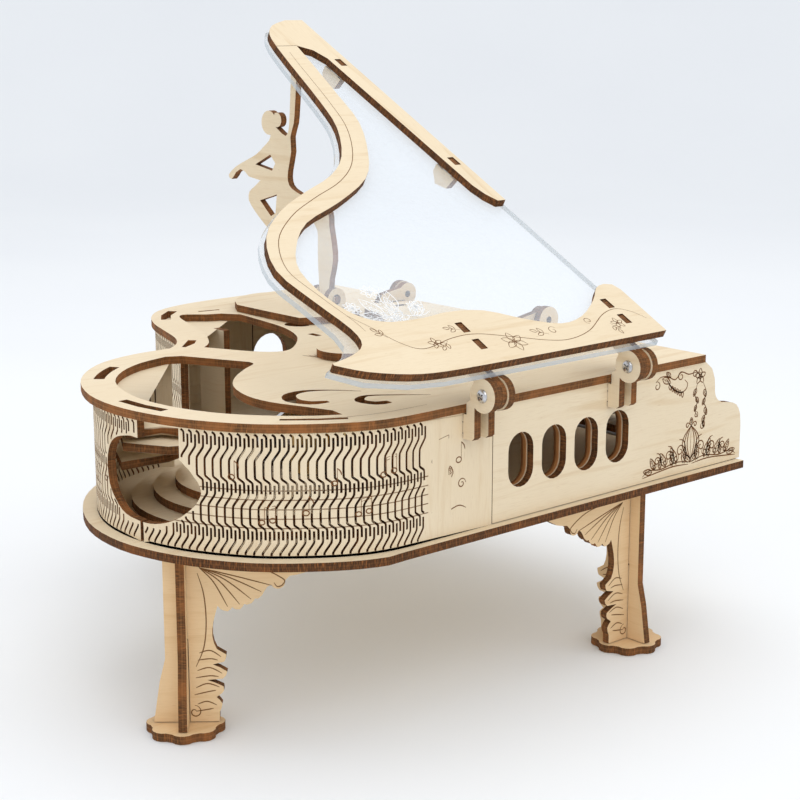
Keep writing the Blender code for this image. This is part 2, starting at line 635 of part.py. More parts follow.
def music_desk():
    axis = empty("desk_axis", (0, DESK_Y, DESK_Z), ORIGIN)
    board_z = TOP_Z + PLY + GAP + 0.2 - DESK_Z
    middle = sum(DESK_XS) / 2
    half = (DESK_XS[1] - DESK_XS[0]) / 2 - PLY * 1.5 - 3 * GAP
    right = [(half, 2.0), (half, 22.0)] + smooth([(half, 22.0), (half - 4.0, 29.0), (half - 14.0, 31.0),
                                                  (half - 22.0, 35.0), (10.0, 40.0), (0.0, 44.0)], 3)[1:]
    left = [(-x, y) for x, y in right[::-1]][1:]
    slots = [box(-half + 6.0, 9.0, -half + 9.4, 15.0), box(half - 9.4, 9.0, half - 6.0, 15.0)]
    flat("music_desk", [right + left] + slots, board_z, parent=axis, xy=(middle, 0))
    for label, x, sign in (("bass", DESK_XS[0], 1), ("treble", DESK_XS[1], -1)):
        inner = x + sign * (PLY + GAP)
        lug = arc((DESK_Y, DESK_Z), DESK_R, -20, 250, 18)
        lug_x = inner - PLY / 2
        head = arc((0, 0), DESK_R - 0.5, 40, 250, 14)
        arm = [(2.0, board_z + PLY + GAP), (17.0, board_z + PLY + GAP), (15.0, board_z + PLY + 4.0)]
        side("desk_lug_%s" % label, [head + arm, disc((0, 0), BORE_R, 14)], lug_x, parent=axis)
        stand = lug + [(DESK_Y - 4.0, TOP_Z + PLY + GAP), (DESK_Y + 5.4, TOP_Z + PLY + GAP)]
        side("desk_bracket_%s" % label, [stand, disc((DESK_Y, DESK_Z), BORE_R, 14)], x - PLY / 2)


# ---------------------------------------------------------------- inside: steps and music movement

def rod(name, mat, location, half_length, radius, rotation, steps=12):
    """A plain round bar, centred on its location."""
    return turned(name, [(0, half_length), (radius, half_length), (radius, -half_length),
                         (0, -half_length)],
                  mat, location, rotation, None, steps)


def merge(target, piece):
    """Fuse a second solid into the target."""
    cut(target, piece)
    target.modifiers[-1].operation = "UNION"


def steps():
    """Three crescents stacked like stairs inside the tail."""
    for number, radius in enumerate((53.0, 45.0, 37.0)):
        ring = arc((78.0, 149.0), radius, 2, 178, 26)
        well = arc((78.0, 149.0), 12.0, 178, 2, 10)
        flat("step_plate_%d" % (number + 1), [ring + well], WALL_Z + number * (PLY + GAP))


def movement():
    """Clockwork music movement: a key below winds it, a pinned cylinder plucks a comb."""
    x, y = MOVEMENT_XY
    deck = WALL_Z + 2.0
    left, right = x - 22.0, x + 24.0
    holes = [disc((x, y), 2.2, 16), disc((right - 9.0, y + 1.0), 1.0, 12)]
    flat("movement_base", [box(left, y - 32.0, right, y + 8.0)] + holes, WALL_Z, 2.0, STEEL)
    middle = (left + right) / 2
    drum = (middle, y - 15.0, deck + 10.0)
    post = [(y - 32.0, deck + GAP), (y + 8.0, deck + GAP), (y + 8.0, deck + 12.0), (y - 6.0, deck + 19.0),
            (y - 32.0, deck + 19.0)]
    bore = disc((drum[1], drum[2]), 1.08, 16)
    side("bearing_plate_bass", [post, bore], left, 2.0, STEEL)
    side("bearing_plate_treble", [post, bore], right - 2.0, 2.0, STEEL)
    half = (right - left) / 2 - 2.6
    turned("pin_cylinder", [(0, half + 3.2), (1.0, half + 3.2), (1.0, half), (6.5, half), (6.5, -half),
                            (1.0, -half),
                            (1.0, -half - 3.2), (0, -half - 3.2)], BRASS, drum, (0, 90, 0), None, 32)
    ring = [(2.2, deck + 16.0), (7.6, deck + 16.0), (8.0, deck + 15.6), (8.0, deck + GAP),
            (2.2, deck + GAP),
            (2.2, deck + 16.0)]
    turned("spring_barrel", ring, BRASS, (x, y, 0), (0, 0, 0), None, 32)
    shaft = [(0, deck + 17.0), (1.6, deck + 17.0), (1.6, 36.0), (3.0, 34.0), (3.0, 26.0), (0, 26.0)]
    key = turned("winding_key", shaft, BRASS, (x, y, 0), (0, 0, 0), None, 24)
    wings = smooth([(0, 31.0), (5.0, 33.6), (11.0, 33.0), (13.6, 27.0), (11.6, 20.4), (5.4, 20.6),
                    (0, 25.0),
                    (-5.4, 20.6), (-11.6, 20.4), (-13.6, 27.0), (-11.0, 33.0), (-5.0, 33.6)], 3, True)
    merge(key, finish("key_wings", sheet_mesh("key_wings", [wings], 2.0), BRASS, key, (0, 1.0, 0),
                      (90, 0, 0)))
    teeth = [(left + 2.3, y - 31.0), (right - 2.3, y - 31.0)]
    pitch = (right - left - 4.6) / 18
    for k in range(18):
        edge = right - 2.3 - k * pitch
        teeth += [(edge, y - 21.8), (edge - pitch + 0.35, y - 21.8)]
        if k < 17:
            teeth += [(edge - pitch + 0.35, y - 27.0), (edge - pitch, y - 27.0)]
    teeth[-1] = (left + 2.3, y - 21.8)
    flat("comb", [teeth], deck + 9.4, 1.2, STEEL)
    governor = turned("governor_fan", [(0, deck + 15.0), (0.8, deck + 15.0), (0.8, deck - 1.0),
                                       (0, deck - 1.0)],
                      STEEL, (right - 9.0, y + 1.0, 0), (0, 0, 0), None, 12)
    blade = sheet_mesh("fan_blade", [box(-4.6, deck + 8.0, 4.6, deck + 14.0)], 0.6)
    merge(governor, finish("fan_blade", blade, STEEL, governor, (0, 0.3, 0), (90, 0, 0)))


def keyboard():
    left = WALL_INSET + PLY + 2.5
    right = WIDTH - WALL_INSET - PLY - 2.5
    bank = (right - left) / KEY_BANKS
    key = bank / KEYS_PER_BANK
    slit = 0.3
    for number in range(KEY_BANKS):
        start = left + number * bank + GAP / 2
        end = start + bank - GAP
        axis = empty("key_axis_%d" % (number + 1), (0, KEY_ROD_Y, KEY_ROD_Z), ORIGIN)
        outline = [(start, 4.0), (start, -19.6 - KEY_ROD_Y)]
        for k in range(1, KEYS_PER_BANK):
            x = start - GAP / 2 + k * key
            outline += [(x - slit, -19.6 - KEY_ROD_Y), (x - slit, -KEY_ROD_Y - 3.0),
                        (x + slit, -KEY_ROD_Y - 3.0),
                        (x + slit, -19.6 - KEY_ROD_Y)]
        outline += [(end, -19.6 - KEY_ROD_Y), (end, 4.0)]
        flat("key_bank_%d" % (number + 1), [outline], 1.5, parent=axis)
    rod("key_rod", STEEL, (WIDTH / 2, KEY_ROD_Y, KEY_ROD_Z), WIDTH / 2 - WALL_INSET - PLY - GAP, 1.2,
        (0, 90, 0))


def build():
    base_board()
    top_board()
    spine_panel()
    treble_panel()
    tail_walls()
    bentside_wall()
    front_pieces()
    hinge_parts()
    legs()
    lid()
    lid_lugs()
    dancer()
    music_desk()
    steps()
    movement()
    keyboard()


build()
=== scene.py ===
"""Looks for the laser-cut plywood grand piano: materials, slit walls, engraving, hardware and stage."""
import json
import math
import random

import bmesh
import bpy
from mathutils import Matrix, Vector

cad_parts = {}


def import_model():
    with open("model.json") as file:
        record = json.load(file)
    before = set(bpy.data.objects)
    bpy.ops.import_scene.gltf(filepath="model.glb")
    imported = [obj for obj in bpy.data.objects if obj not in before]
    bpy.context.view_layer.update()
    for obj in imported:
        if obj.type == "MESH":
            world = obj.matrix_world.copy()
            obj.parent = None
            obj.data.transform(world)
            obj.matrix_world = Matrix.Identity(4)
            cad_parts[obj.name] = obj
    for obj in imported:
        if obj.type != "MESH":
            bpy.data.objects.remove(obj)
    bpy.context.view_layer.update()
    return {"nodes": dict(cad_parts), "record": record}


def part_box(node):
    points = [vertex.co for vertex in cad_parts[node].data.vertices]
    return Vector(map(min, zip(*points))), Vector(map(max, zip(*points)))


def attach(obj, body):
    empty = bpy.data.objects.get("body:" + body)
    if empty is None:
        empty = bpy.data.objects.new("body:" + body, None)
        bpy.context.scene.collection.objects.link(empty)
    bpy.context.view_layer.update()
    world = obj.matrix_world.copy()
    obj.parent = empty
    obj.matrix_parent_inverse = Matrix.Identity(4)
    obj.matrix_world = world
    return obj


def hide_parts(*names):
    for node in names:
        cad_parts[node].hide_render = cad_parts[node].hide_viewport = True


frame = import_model()
NODES = frame["nodes"]
random.seed(7)

# ---------------------------------------------------------------- places
# Lengths below are millimetres in the model's own frame: X from the spine edge of the top board,
# Y from its front edge, Z up with the top board's underside at 87.
MM = 0.001
WIDTH = 230.0
LOW, HIGH = [Vector(corner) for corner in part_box("top_board")]
ORIGIN = Vector((HIGH.x - WIDTH * MM, LOW.y, LOW.z - 87.0 * MM))
WALL_Z, WALL_TOP = 44.46, 86.7
PLY = 3.0
LID_TILT = math.radians(28.0)
LID_T = Vector((math.cos(LID_TILT), 0, math.sin(LID_TILT)))
LID_N = Vector((-math.sin(LID_TILT), 0, math.cos(LID_TILT)))
LID_AXIS = Vector((-8.0, 0, 94.0))
LID_TOP = 11.3            # upper face of the lid's plywood above the hinge axis
UP = Vector((0, 0, 1))


def world(point):
    return ORIGIN + Vector(point) * MM


def on_lid(height):
    """A map from (distance from the hinge axis, Y) to a point and normal on the lid."""
    def place(t, y):
        return LID_AXIS + LID_T * t + LID_N * height + Vector((0, y, 0)), LID_N
    return place


def on_spine(depth=1.5):
    return lambda y, z: (Vector((depth, y, z)), Vector((-1, 0, 0)))


def on_treble(depth=228.5):
    return lambda y, z: (Vector((depth, y, z)), Vector((1, 0, 0)))


def on_top(height=90.0):
    return lambda x, y: (Vector((x, y, height)), UP)


# ---------------------------------------------------------------- node helpers
def add(tree, kind, inputs=None, **props):
    node = tree.nodes.new(kind)
    for key, value in props.items():
        setattr(node, key, value)
    for key, value in (inputs or {}).items():
        if isinstance(value, bpy.types.NodeSocket):
            tree.links.new(value, node.inputs[key])
        else:
            node.inputs[key].default_value = value
    return node


def maths(tree, operation, a, b=0.0, clamp=False):
    return add(tree, "ShaderNodeMath", {0: a, 1: b}, operation=operation, use_clamp=clamp).outputs[0]


def dot(tree, vector, axis):
    node = add(tree, "ShaderNodeVectorMath", {0: vector}, operation="DOT_PRODUCT")
    node.inputs[1].default_value = axis
    return node.outputs["Value"]


def mix(tree, factor, a, b, blend="MIX"):
    node = add(tree, "ShaderNodeMix", data_type="RGBA", blend_type=blend)
    for key, value in ((0, factor), (6, a), (7, b)):
        if isinstance(value, bpy.types.NodeSocket):
            tree.links.new(value, node.inputs[key])
        else:
            node.inputs[key].default_value = value
    return node.outputs[2]


def noise(tree, vector, scale, detail=3.0, rough=0.5, warp=0.0):
    return add(tree, "ShaderNodeTexNoise", {"Vector": vector, "Scale": scale, "Detail": detail, "Roughness": rough,
                                            "Distortion": warp}).outputs["Fac"]


def ramp(tree, factor, stops):
    node = add(tree, "ShaderNodeValToRGB", {0: factor})
    elements = node.color_ramp.elements
    while len(elements) < len(stops):
        elements.new(0.5)
    for element, (place, colour) in zip(elements, stops):
        element.position = place
        element.color = colour if len(colour) == 4 else (*colour, 1.0)
    return node.outputs[0]


def remap(tree, value, low, high, to_low=0.0, to_high=1.0):
    return add(tree, "ShaderNodeMapRange", {0: value, 1: low, 2: high, 3: to_low, 4: to_high}).outputs[0]


def combine(tree, x, y, z):
    return add(tree, "ShaderNodeCombineXYZ", {0: x, 1: y, 2: z}).outputs[0]


def blank(name):
    material = bpy.data.materials.new(name)
    material.use_nodes = True
    return material, material.node_tree, material.node_tree.nodes["Principled BSDF"]


# ---------------------------------------------------------------- plywood
FACE_LIGHT = (0.82, 0.69, 0.495)
FACE_MID = (0.74, 0.585, 0.385)
FACE_DARK = (0.56, 0.40, 0.235)
PLAIN = (1.0, 1.0, 1.0)
CHAR = (0.012, 0.005, 0.003)
BURNT = (0.055, 0.021, 0.009)
TOASTED = (0.29, 0.098, 0.026)


def ply_shader(tree, bsdf, along, across, depth, rim, seed, burn, tone, staff=None):
    """Basswood faces with grain and pores; laser-burnt edges with glue lines and vertical striations.

    along and across are lengths on the sheet in metres, depth runs 0 to 1 through its thickness,
    and rim is 1 on a cut edge.
    """
    shifted = maths(tree, "ADD", across, seed * 0.37)
    sheet = combine(tree, along, shifted, maths(tree, "MULTIPLY", depth, 0.003))
    stretched = combine(tree, maths(tree, "MULTIPLY", along, 0.10), shifted, seed * 0.11)
    figure = noise(tree, stretched, 210.0, 4.0, 0.55, 0.6)
    fibre = noise(tree, combine(tree, maths(tree, "MULTIPLY", along, 0.06), shifted, seed), 2600.0, 2.0, 0.6)
    pores = noise(tree, combine(tree, maths(tree, "MULTIPLY", along, 0.16), shifted, seed + 4.0), 1500.0, 1.0)
    patches = noise(tree, sheet, 16.0, 2.0)
    face = ramp(tree, figure, [(0.30, FACE_MID), (0.46, FACE_LIGHT), (0.60, FACE_LIGHT), (0.74, FACE_MID)])
    face = mix(tree, remap(tree, patches, 0.38, 0.70, 0.0, 0.34), face, (*FACE_MID, 1))
    face = mix(tree, remap(tree, fibre, 0.50, 0.78, 0.0, 0.22), face, (*FACE_DARK, 1))
    face = mix(tree, remap(tree, pores, 0.70, 0.80, 0.0, 0.42), face, (*FACE_DARK, 1))
    face = mix(tree, 1.0, face, (*tone, 1), "MULTIPLY")

    lines = noise(tree, combine(tree, along, across, maths(tree, "MULTIPLY", depth, 0.0004)), 2400.0, 2.0, 0.7)
    clouds = noise(tree, sheet, 70.0 + seed, 3.0, 0.6)
    edge = ramp(tree, lines, [(0.28, CHAR), (0.50, BURNT), (0.72, TOASTED)])
    warm = remap(tree, clouds, 0.36 + 0.22 * burn, 0.62 + 0.22 * burn, 0.0, 0.85)
    edge = mix(tree, warm, edge, (*TOASTED, 1))
    glue = ramp(tree, depth, [(0.0, (0.62, 0.62, 0.62)), (0.07, (0.25, 0.25, 0.25)), (0.30, (0.35, 0.35, 0.35)),
                              (0.34, (0.0, 0.0, 0.0)), (0.38, (0.42, 0.42, 0.42)), (0.62, (0.42, 0.42, 0.42)),
                              (0.66, (0.0, 0.0, 0.0)), (0.70, (0.3, 0.3, 0.3)), (0.94, (0.25, 0.25, 0.25)),
                              (1.0, (0.7, 0.7, 0.7))])
    edge = mix(tree, maths(tree, "MULTIPLY", glue, 0.85 - 0.6 * burn), edge, (0.50, 0.24, 0.085, 1))
    edge = mix(tree, remap(tree, glue, 0.0, 0.12, 0.55, 0.0), edge, (*CHAR, 1))

    if staff is not None:
        face = mix(tree, staff, face, (0.17, 0.075, 0.028, 1))
    tree.links.new(mix(tree, rim, face, edge), bsdf.inputs["Base Color"])
    rough = remap(tree, fibre, 0.2, 0.8, 0.50, 0.66)
    tree.links.new(maths(tree, "ADD", rough, maths(tree, "MULTIPLY", rim, 0.18), True), bsdf.inputs["Roughness"])
    bsdf.inputs["Specular IOR Level"].default_value = 0.16
    relief = maths(tree, "ADD", maths(tree, "MULTIPLY", fibre, 0.5), maths(tree, "MULTIPLY", pores, -0.35))
    relief = maths(tree, "ADD", relief, maths(tree, "MULTIPLY", maths(tree, "MULTIPLY", lines, rim), 2.4))
    if staff is not None:
        relief = maths(tree, "SUBTRACT", relief, maths(tree, "MULTIPLY", staff, 2.5))
    bump = add(tree, "ShaderNodeBump", {"Strength": 0.55, "Distance": 0.00012, "Height": relief})
    tree.links.new(bump.outputs[0], bsdf.inputs["Normal"])


def sheet_axis(points):
    """The direction in which a flat piece is thinnest, with its lowest reach and thickness."""
    choices = [Vector((1, 0, 0)), Vector((0, 1, 0)), UP, LID_N]
    choices += [Vector((math.cos(math.radians(a / 2)), math.sin(math.radians(a / 2)), 0)) for a in range(0, 360)]
    best = None
    for axis in choices:
        reach = [p.dot(axis) for p in points]
        span = max(reach) - min(reach)
        if best is None or span < best[2] - 1e-6:
            best = (axis, min(reach), span)
    return best


def ply(name, points, grain=None, seed=0.0, burn=0.5, tone=PLAIN):
    """Plywood for one flat piece, whose cut edges are found from the direction they face."""
    axis, low, thickness = sheet_axis(points)
    if grain is None or abs(grain.dot(axis)) > 0.9:
        grain = Vector((0, 1, 0)) if abs(axis.y) < 0.7 else Vector((1, 0, 0))
    grain = (grain - axis * grain.dot(axis)).normalized()
    side = axis.cross(grain)
    material, tree, bsdf = blank(name)
    coordinates = add(tree, "ShaderNodeTexCoord")
    place = coordinates.outputs["Object"]
    facing = maths(tree, "ABSOLUTE", dot(tree, coordinates.outputs["Normal"], axis))
    rim = remap(tree, facing, 0.80, 0.60)
    depth = remap(tree, dot(tree, place, axis), low, low + thickness)
    ply_shader(tree, bsdf, dot(tree, place, grain), dot(tree, place, side), depth, rim, seed, burn, tone)
    return material


def ply_bent(name, seed, burn=0.5, staff=False):
    """Plywood for a bent sheet, which carries its own flat coordinates and marks its cut edges."""
    material, tree, bsdf = blank(name)
    flat = add(tree, "ShaderNodeAttribute", attribute_name="flat").outputs["Vector"]
    rim = add(tree, "ShaderNodeAttribute", attribute_name="rim").outputs["Fac"]
    parts = add(tree, "ShaderNodeSeparateXYZ", {0: flat})
    lines = None
    if staff:
        step = maths(tree, "PINGPONG", maths(tree, "SUBTRACT", parts.outputs[1], 0.0100), 0.0016)
        line = remap(tree, step, 0.00010, 0.00026, 1.0, 0.0)
        inside = maths(tree, "MULTIPLY", remap(tree, parts.outputs[1], 0.0096, 0.0097),
                       remap(tree, parts.outputs[1], 0.0231, 0.0232, 1.0, 0.0))
        outer = remap(tree, parts.outputs[2], 0.0028, 0.0029)
        start = remap(tree, parts.outputs[0], 0.0300, 0.0301)
        faint = remap(tree, noise(tree, flat, 300.0), 0.3, 0.7, 0.7, 1.0)
        lines = maths(tree, "MULTIPLY", maths(tree, "MULTIPLY", line, inside),
                      maths(tree, "MULTIPLY", maths(tree, "MULTIPLY", outer, start), faint))
    depth = maths(tree, "DIVIDE", parts.outputs[2], 0.003)
    ply_shader(tree, bsdf, parts.outputs[1], parts.outputs[0], depth, rim, seed, burn, PLAIN, lines)
    return material


def engraving(name, colour, alpha=1.0):
    material, tree, bsdf = blank(name)
    place = add(tree, "ShaderNodeTexCoord").outputs["Object"]
    soot = noise(tree, place, 1800.0, 2.0, 0.6)
    dark = tuple(c * 0.6 for c in colour)
    tree.links.new(ramp(tree, soot, [(0.3, dark), (0.7, colour)]), bsdf.inputs["Base Color"])
    bsdf.inputs["Roughness"].default_value = 0.85
    bsdf.inputs["Specular IOR Level"].default_value = 0.15
    if alpha < 1.0:
        tree.links.new(remap(tree, noise(tree, place, 500.0), 0.3, 0.7, alpha * 0.6, alpha), bsdf.inputs["Alpha"])
    return material


def metal(name, colour, roughness, brushed=1.0):
    material, tree, bsdf = blank(name)
    place = add(tree, "ShaderNodeTexCoord").outputs["Object"]
    marks = noise(tree, place, 900.0, 4.0, 0.7, 0.4)
    worn = noise(tree, place, 120.0, 3.0, 0.6)
    dark = tuple(c * 0.62 for c in colour)
    tree.links.new(ramp(tree, worn, [(0.25, dark), (0.6, colour)]), bsdf.inputs["Base Color"])
    tree.links.new(remap(tree, marks, 0.25, 0.75, roughness * 0.7, roughness * 1.35), bsdf.inputs["Roughness"])
    bsdf.inputs["Metallic"].default_value = 1.0
    bump = add(tree, "ShaderNodeBump", {"Strength": 0.25 * brushed, "Distance": 0.00006, "Height": marks})
    tree.links.new(bump.outputs[0], bsdf.inputs["Normal"])
    return material


def acrylic():
    """Clear sheet: nearly invisible faces, brighter milky cut edges, faint scuffs."""
    material, tree, bsdf = blank("clear_acrylic_sheet")
    coordinates = add(tree, "ShaderNodeTexCoord")
    facing = maths(tree, "ABSOLUTE", dot(tree, coordinates.outputs["Normal"], LID_N))
    rim = remap(tree, facing, 0.8, 0.6)
    scuffs = noise(tree, coordinates.outputs["Object"], 130.0, 5.0, 0.65, 1.2)
    haze = remap(tree, scuffs, 0.40, 0.75, 0.17, 0.24)
    tree.links.new(maths(tree, "ADD", haze, maths(tree, "MULTIPLY", rim, 0.45), True), bsdf.inputs["Alpha"])
    tree.links.new(mix(tree, rim, (0.86, 0.93, 1.0, 1), (0.50, 0.56, 0.60, 1)), bsdf.inputs["Base Color"])
    tree.links.new(remap(tree, scuffs, 0.3, 0.8, 0.04, 0.16), bsdf.inputs["Roughness"])
    bsdf.inputs["IOR"].default_value = 1.49
    return material


def frost():
    material, tree, bsdf = blank("frosted_engraving")
    place = add(tree, "ShaderNodeTexCoord").outputs["Object"]
    grain = noise(tree, place, 2500.0, 2.0, 0.7)
    tree.links.new(ramp(tree, grain, [(0.3, (0.82, 0.86, 0.89)), (0.7, (0.97, 0.98, 1.0))]), bsdf.inputs["Base Color"])
    tree.links.new(remap(tree, grain, 0.3, 0.7, 0.72, 0.95), bsdf.inputs["Alpha"])
    bsdf.inputs["Roughness"].default_value = 0.8
    return material


BURN_LINE = engraving("laser_engraving", (0.22, 0.092, 0.032))
FINE_LINE = engraving("laser_score", (0.24, 0.115, 0.045))
SCORCH = engraving("laser_scorch", (0.60, 0.34, 0.10), 0.62)
FROST = frost()
ACRYLIC = acrylic()
STEEL = metal("zinc_plated_steel", (0.66, 0.66, 0.68), 0.26)
DARK_STEEL = metal("sprung_steel", (0.42, 0.42, 0.45), 0.32)
BRASS = metal("satin_brass", (0.76, 0.55, 0.24), 0.30)


# ---------------------------------------------------------------- shapes
def catmull(points, steps=5, closed=False):
    points = [tuple(p) for p in points]
    if closed:
        around = [points[-1]] + points + points[:2]
    else:
        around = [points[0]] + points + [points[-1]]
    result = []
    for i in range(1, len(around) - 2):
        p0, p1, p2, p3 = around[i - 1:i + 3]
        for k in range(steps):
            t = k / steps
            result.append(tuple(0.5 * (2 * b + (c - a) * t + (2 * a - 5 * b + 4 * c - d) * t * t
                                       + (3 * b - a - 3 * c + d) * t ** 3)
                                for a, b, c, d in zip(p0, p1, p2, p3)))
    if not closed:
        result.append(points[-1])
    return result


def circle(centre, radius, count=16, start=0.0, sweep=360.0):
    full = abs(sweep) >= 360.0
    steps = count if full else count - 1
    return [(centre[0] + radius * math.cos(math.radians(start + sweep * k / steps)),
             centre[1] + radius * math.sin(math.radians(start + sweep * k / steps))) for k in range(count)]


def spiral(centre, start_radius, end_radius, start, sweep, count=22):
    result = []
    for k in range(count):
        f = k / (count - 1)
        radius = start_radius + (end_radius - start_radius) * f
        angle = math.radians(start + sweep * f)
        result.append((centre[0] + radius * math.cos(angle), centre[1] + radius * math.sin(angle)))
    return result


def leaf(root, heading, length, width, ribs=True):
    """Outline of a pointed leaf with a midrib and side veins."""
    c, s = math.cos(math.radians(heading)), math.sin(math.radians(heading))

    def turn(u, v):
        return (root[0] + u * c - v * s, root[1] + u * s + v * c)

    left = catmull([turn(0, 0), turn(length * 0.35, width * 0.5), turn(length * 0.75, width * 0.34), turn(length, 0)])
    right = catmull([turn(0, 0), turn(length * 0.35, -width * 0.5), turn(length * 0.75, -width * 0.34),
                     turn(length, 0)])
    strokes = [left, right]
    if ribs:
        strokes.append([turn(0, 0), turn(length * 0.85, 0)])
        for f in (0.3, 0.5, 0.68):
            strokes.append([turn(length * f, 0), turn(length * (f + 0.16), width * 0.3)])
            strokes.append([turn(length * f, 0), turn(length * (f + 0.16), -width * 0.3)])
    return strokes


def mirrored(strokes, middle):
    return [[(2 * middle - u, v) for u, v in stroke] for stroke in strokes]


def shifted_side(points, distance):
    """An open path moved to its left."""
    result = []
    for i, point in enumerate(points):
        before = points[max(i - 1, 0)]
        after = points[min(i + 1, len(points) - 1)]
        dx, dy = after[0] - before[0], after[1] - before[1]
        size = math.hypot(dx, dy) or 1.0
        result.append((point[0] - dy / size * distance, point[1] + dx / size * distance))
    return result


def new_object(name, vertices, faces, materials, body, smooth_angle=None):
    mesh = bpy.data.meshes.new(name)
    mesh.from_pydata([tuple(v) for v in vertices], [], faces)
    mesh.validate()
    return adopt(name, mesh, materials, body, smooth_angle)


def adopt(name, mesh, materials, body, smooth_angle=None):
    mesh.materials.clear()
    for material in materials:
        mesh.materials.append(material)
    if smooth_angle is not None:
        mesh.polygons.foreach_set("use_smooth", [True] * len(mesh.polygons))
        mesh.set_sharp_from_angle(angle=math.radians(smooth_angle))
    piece = bpy.data.objects.new(name, mesh)
    bpy.context.scene.collection.objects.link(piece)
    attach(piece, body)
    return piece


def engrave(name, strokes, place, body, width=0.34, material=BURN_LINE, lift=0.03, taper=True):
    """Burnt lines as thin ribbons that follow a face; ends thin out as the laser fades."""
    vertices, faces = [], []
    for stroke in strokes:
        count = len(stroke)
        if count < 2:
            continue
        closed = count > 3 and math.dist(stroke[0], stroke[-1]) < 1e-4
        first = len(vertices)
        for i in range(count):
            before = stroke[i - 1] if i else (stroke[-2] if closed else stroke[0])
            after = stroke[i + 1] if i < count - 1 else (stroke[1] if closed else stroke[-1])
            dx, dy = after[0] - before[0], after[1] - before[1]
            size = math.hypot(dx, dy) or 1.0
            ends = 1.0 if closed or not taper else min(1.0, 0.45 + 2.2 * min(i, count - 1 - i) / count)
            half = width * ends * 0.5
            for sign in (1, -1):
                spot, normal = place(stroke[i][0] - dy / size * half * sign, stroke[i][1] + dx / size * half * sign)
                vertices.append(world(spot + normal * lift))
        for i in range(count - 1):
            a = first + 2 * i
            faces.append((a, a + 1, a + 3, a + 2))
    piece = new_object(name, vertices, faces, [material], body)
    faces_away = 0
    for polygon, face in zip(piece.data.polygons, faces):
        middle = sum((piece.data.vertices[v].co for v in face), Vector()) / 4
        if polygon.normal.dot(place(*strokes[0][0])[1]) < 0:
            faces_away += 1
        del middle
    if faces_away > len(faces) / 2:
        piece.data.flip_normals()
    return piece


def outline_mesh(name, loops, thickness):
    """A flat sheet with holes, from loops in millimetres, with its middle at height 0."""
    curve = bpy.data.curves.new(name, "CURVE")
    curve.dimensions = "2D"
    curve.fill_mode = "BOTH"
    curve.extrude = thickness / 2
    for loop in loops:
        spline = curve.splines.new("POLY")
        spline.points.add(len(loop) - 1)
        for point, (u, v) in zip(spline.points, loop):
            point.co = (u, v, 0, 1)
        spline.use_cyclic_u = True
    holder = bpy.data.objects.new(name, curve)
    bpy.context.scene.collection.objects.link(holder)
    bpy.context.view_layer.update()
    mesh = bpy.data.meshes.new_from_object(holder.evaluated_get(bpy.context.evaluated_depsgraph_get()))
    bpy.data.objects.remove(holder)
    bpy.data.curves.remove(curve)
    work = bmesh.new()
    work.from_mesh(mesh)
    bmesh.ops.remove_doubles(work, verts=work.verts, dist=1e-4)
    bmesh.ops.recalc_face_normals(work, faces=work.faces)
    work.to_mesh(mesh)
    work.free()
    return mesh


def board(name, loops, thickness, matrix, body, slot="basswood_ply", **look):
    """A flat laser-cut piece, placed by a matrix in millimetres."""
    mesh = outline_mesh(name, loops, thickness)
    for vertex in mesh.vertices:
        vertex.co = world(matrix @ vertex.co)
    mesh.update()
    material = ply("ply_" + name, [v.co for v in mesh.vertices], **look)
    return adopt(name, mesh, [material], body)


def lathe(name, profile, matrix, body, material, count=32):
    """A turned piece: profile of (radius, height) in millimetres round local Z."""
    vertices, faces = [], []
    for radius, height in profile:
        for k in range(count):
            a = 2 * math.pi * k / count
            vertices.append(world(matrix @ Vector((radius * math.cos(a), radius * math.sin(a), height))))
    for r in range(len(profile) - 1):
        for k in range(count):
            n = (k + 1) % count
            faces.append((r * count + k, r * count + n, (r + 1) * count + n, (r + 1) * count + k))
    faces.append(tuple(range(count))[::-1])
    faces.append(tuple((len(profile) - 1) * count + k for k in range(count)))
    return new_object(name, vertices, faces, [material], body, 35)


# ---------------------------------------------------------------- plywood on the CAD nodes
BURNS = {"base_board": 0.95, "top_board": 0.25, "lid_panel": 0.9, "lid_front_bar": 0.95, "spine_panel": 0.75,
         "dancer_prop": 0.35}
GRAIN_X = {"lid_front_bar", "music_desk", "front_bulkhead", "key_slip"}
for index, (name, node) in enumerate(sorted(NODES.items())):
    if name == "lid_acrylic":
        finish = ACRYLIC
    elif name.endswith("_screw") or name in ("movement_base", "bearing_plate_bass", "bearing_plate_treble"):
        finish = STEEL
    elif name in ("key_rod", "comb", "governor_fan"):
        finish = DARK_STEEL
    elif name in ("spring_barrel", "pin_cylinder", "winding_key"):
        finish = BRASS
    else:
        grain = Vector((1, 0, 0)) if name in GRAIN_X else None
        tone = (0.95, 0.82, 0.67) if "_leg_" in name else PLAIN
        finish = ply("ply_" + name, [v.co for v in node.data.vertices], grain, 0.31 * index,
                     BURNS.get(name, 0.55), tone)
    for slot in node.material_slots:
        slot.material = finish


# ---------------------------------------------------------------- the bent walls, with real slits
NOTCH = (148.6, 148.2)
TAIL = catmull([(0.0, 140.0), (0.3, 158.0), (4.0, 171.5), (12.5, 185.5), (25.0, 199.5), (42.0, 210.3),
                (59.0, 216.2), (77.0, 218.3), (96.0, 215.8), (115.5, 207.6), (130.5, 196.0),
                (141.5, 181.5), (146.6, 164.5), NOTCH], 3)
BENT = catmull([NOTCH, (153.5, 140.5), (164.0, 134.0), (180.0, 128.4), (196.0, 122.8), (210.5, 114.8),
                (221.5, 103.8), (227.6, 89.0), (229.8, 72.0), (WIDTH, 50.0)], 3)
WALL_INSET = 1.5
TAIL_DRAW_IN = 2.7
PITCH = 2.9
SLIT = 0.80
HEIGHT = WALL_TOP - WALL_Z
LIP = 0.28                # the bent walls reach the boards above and below them
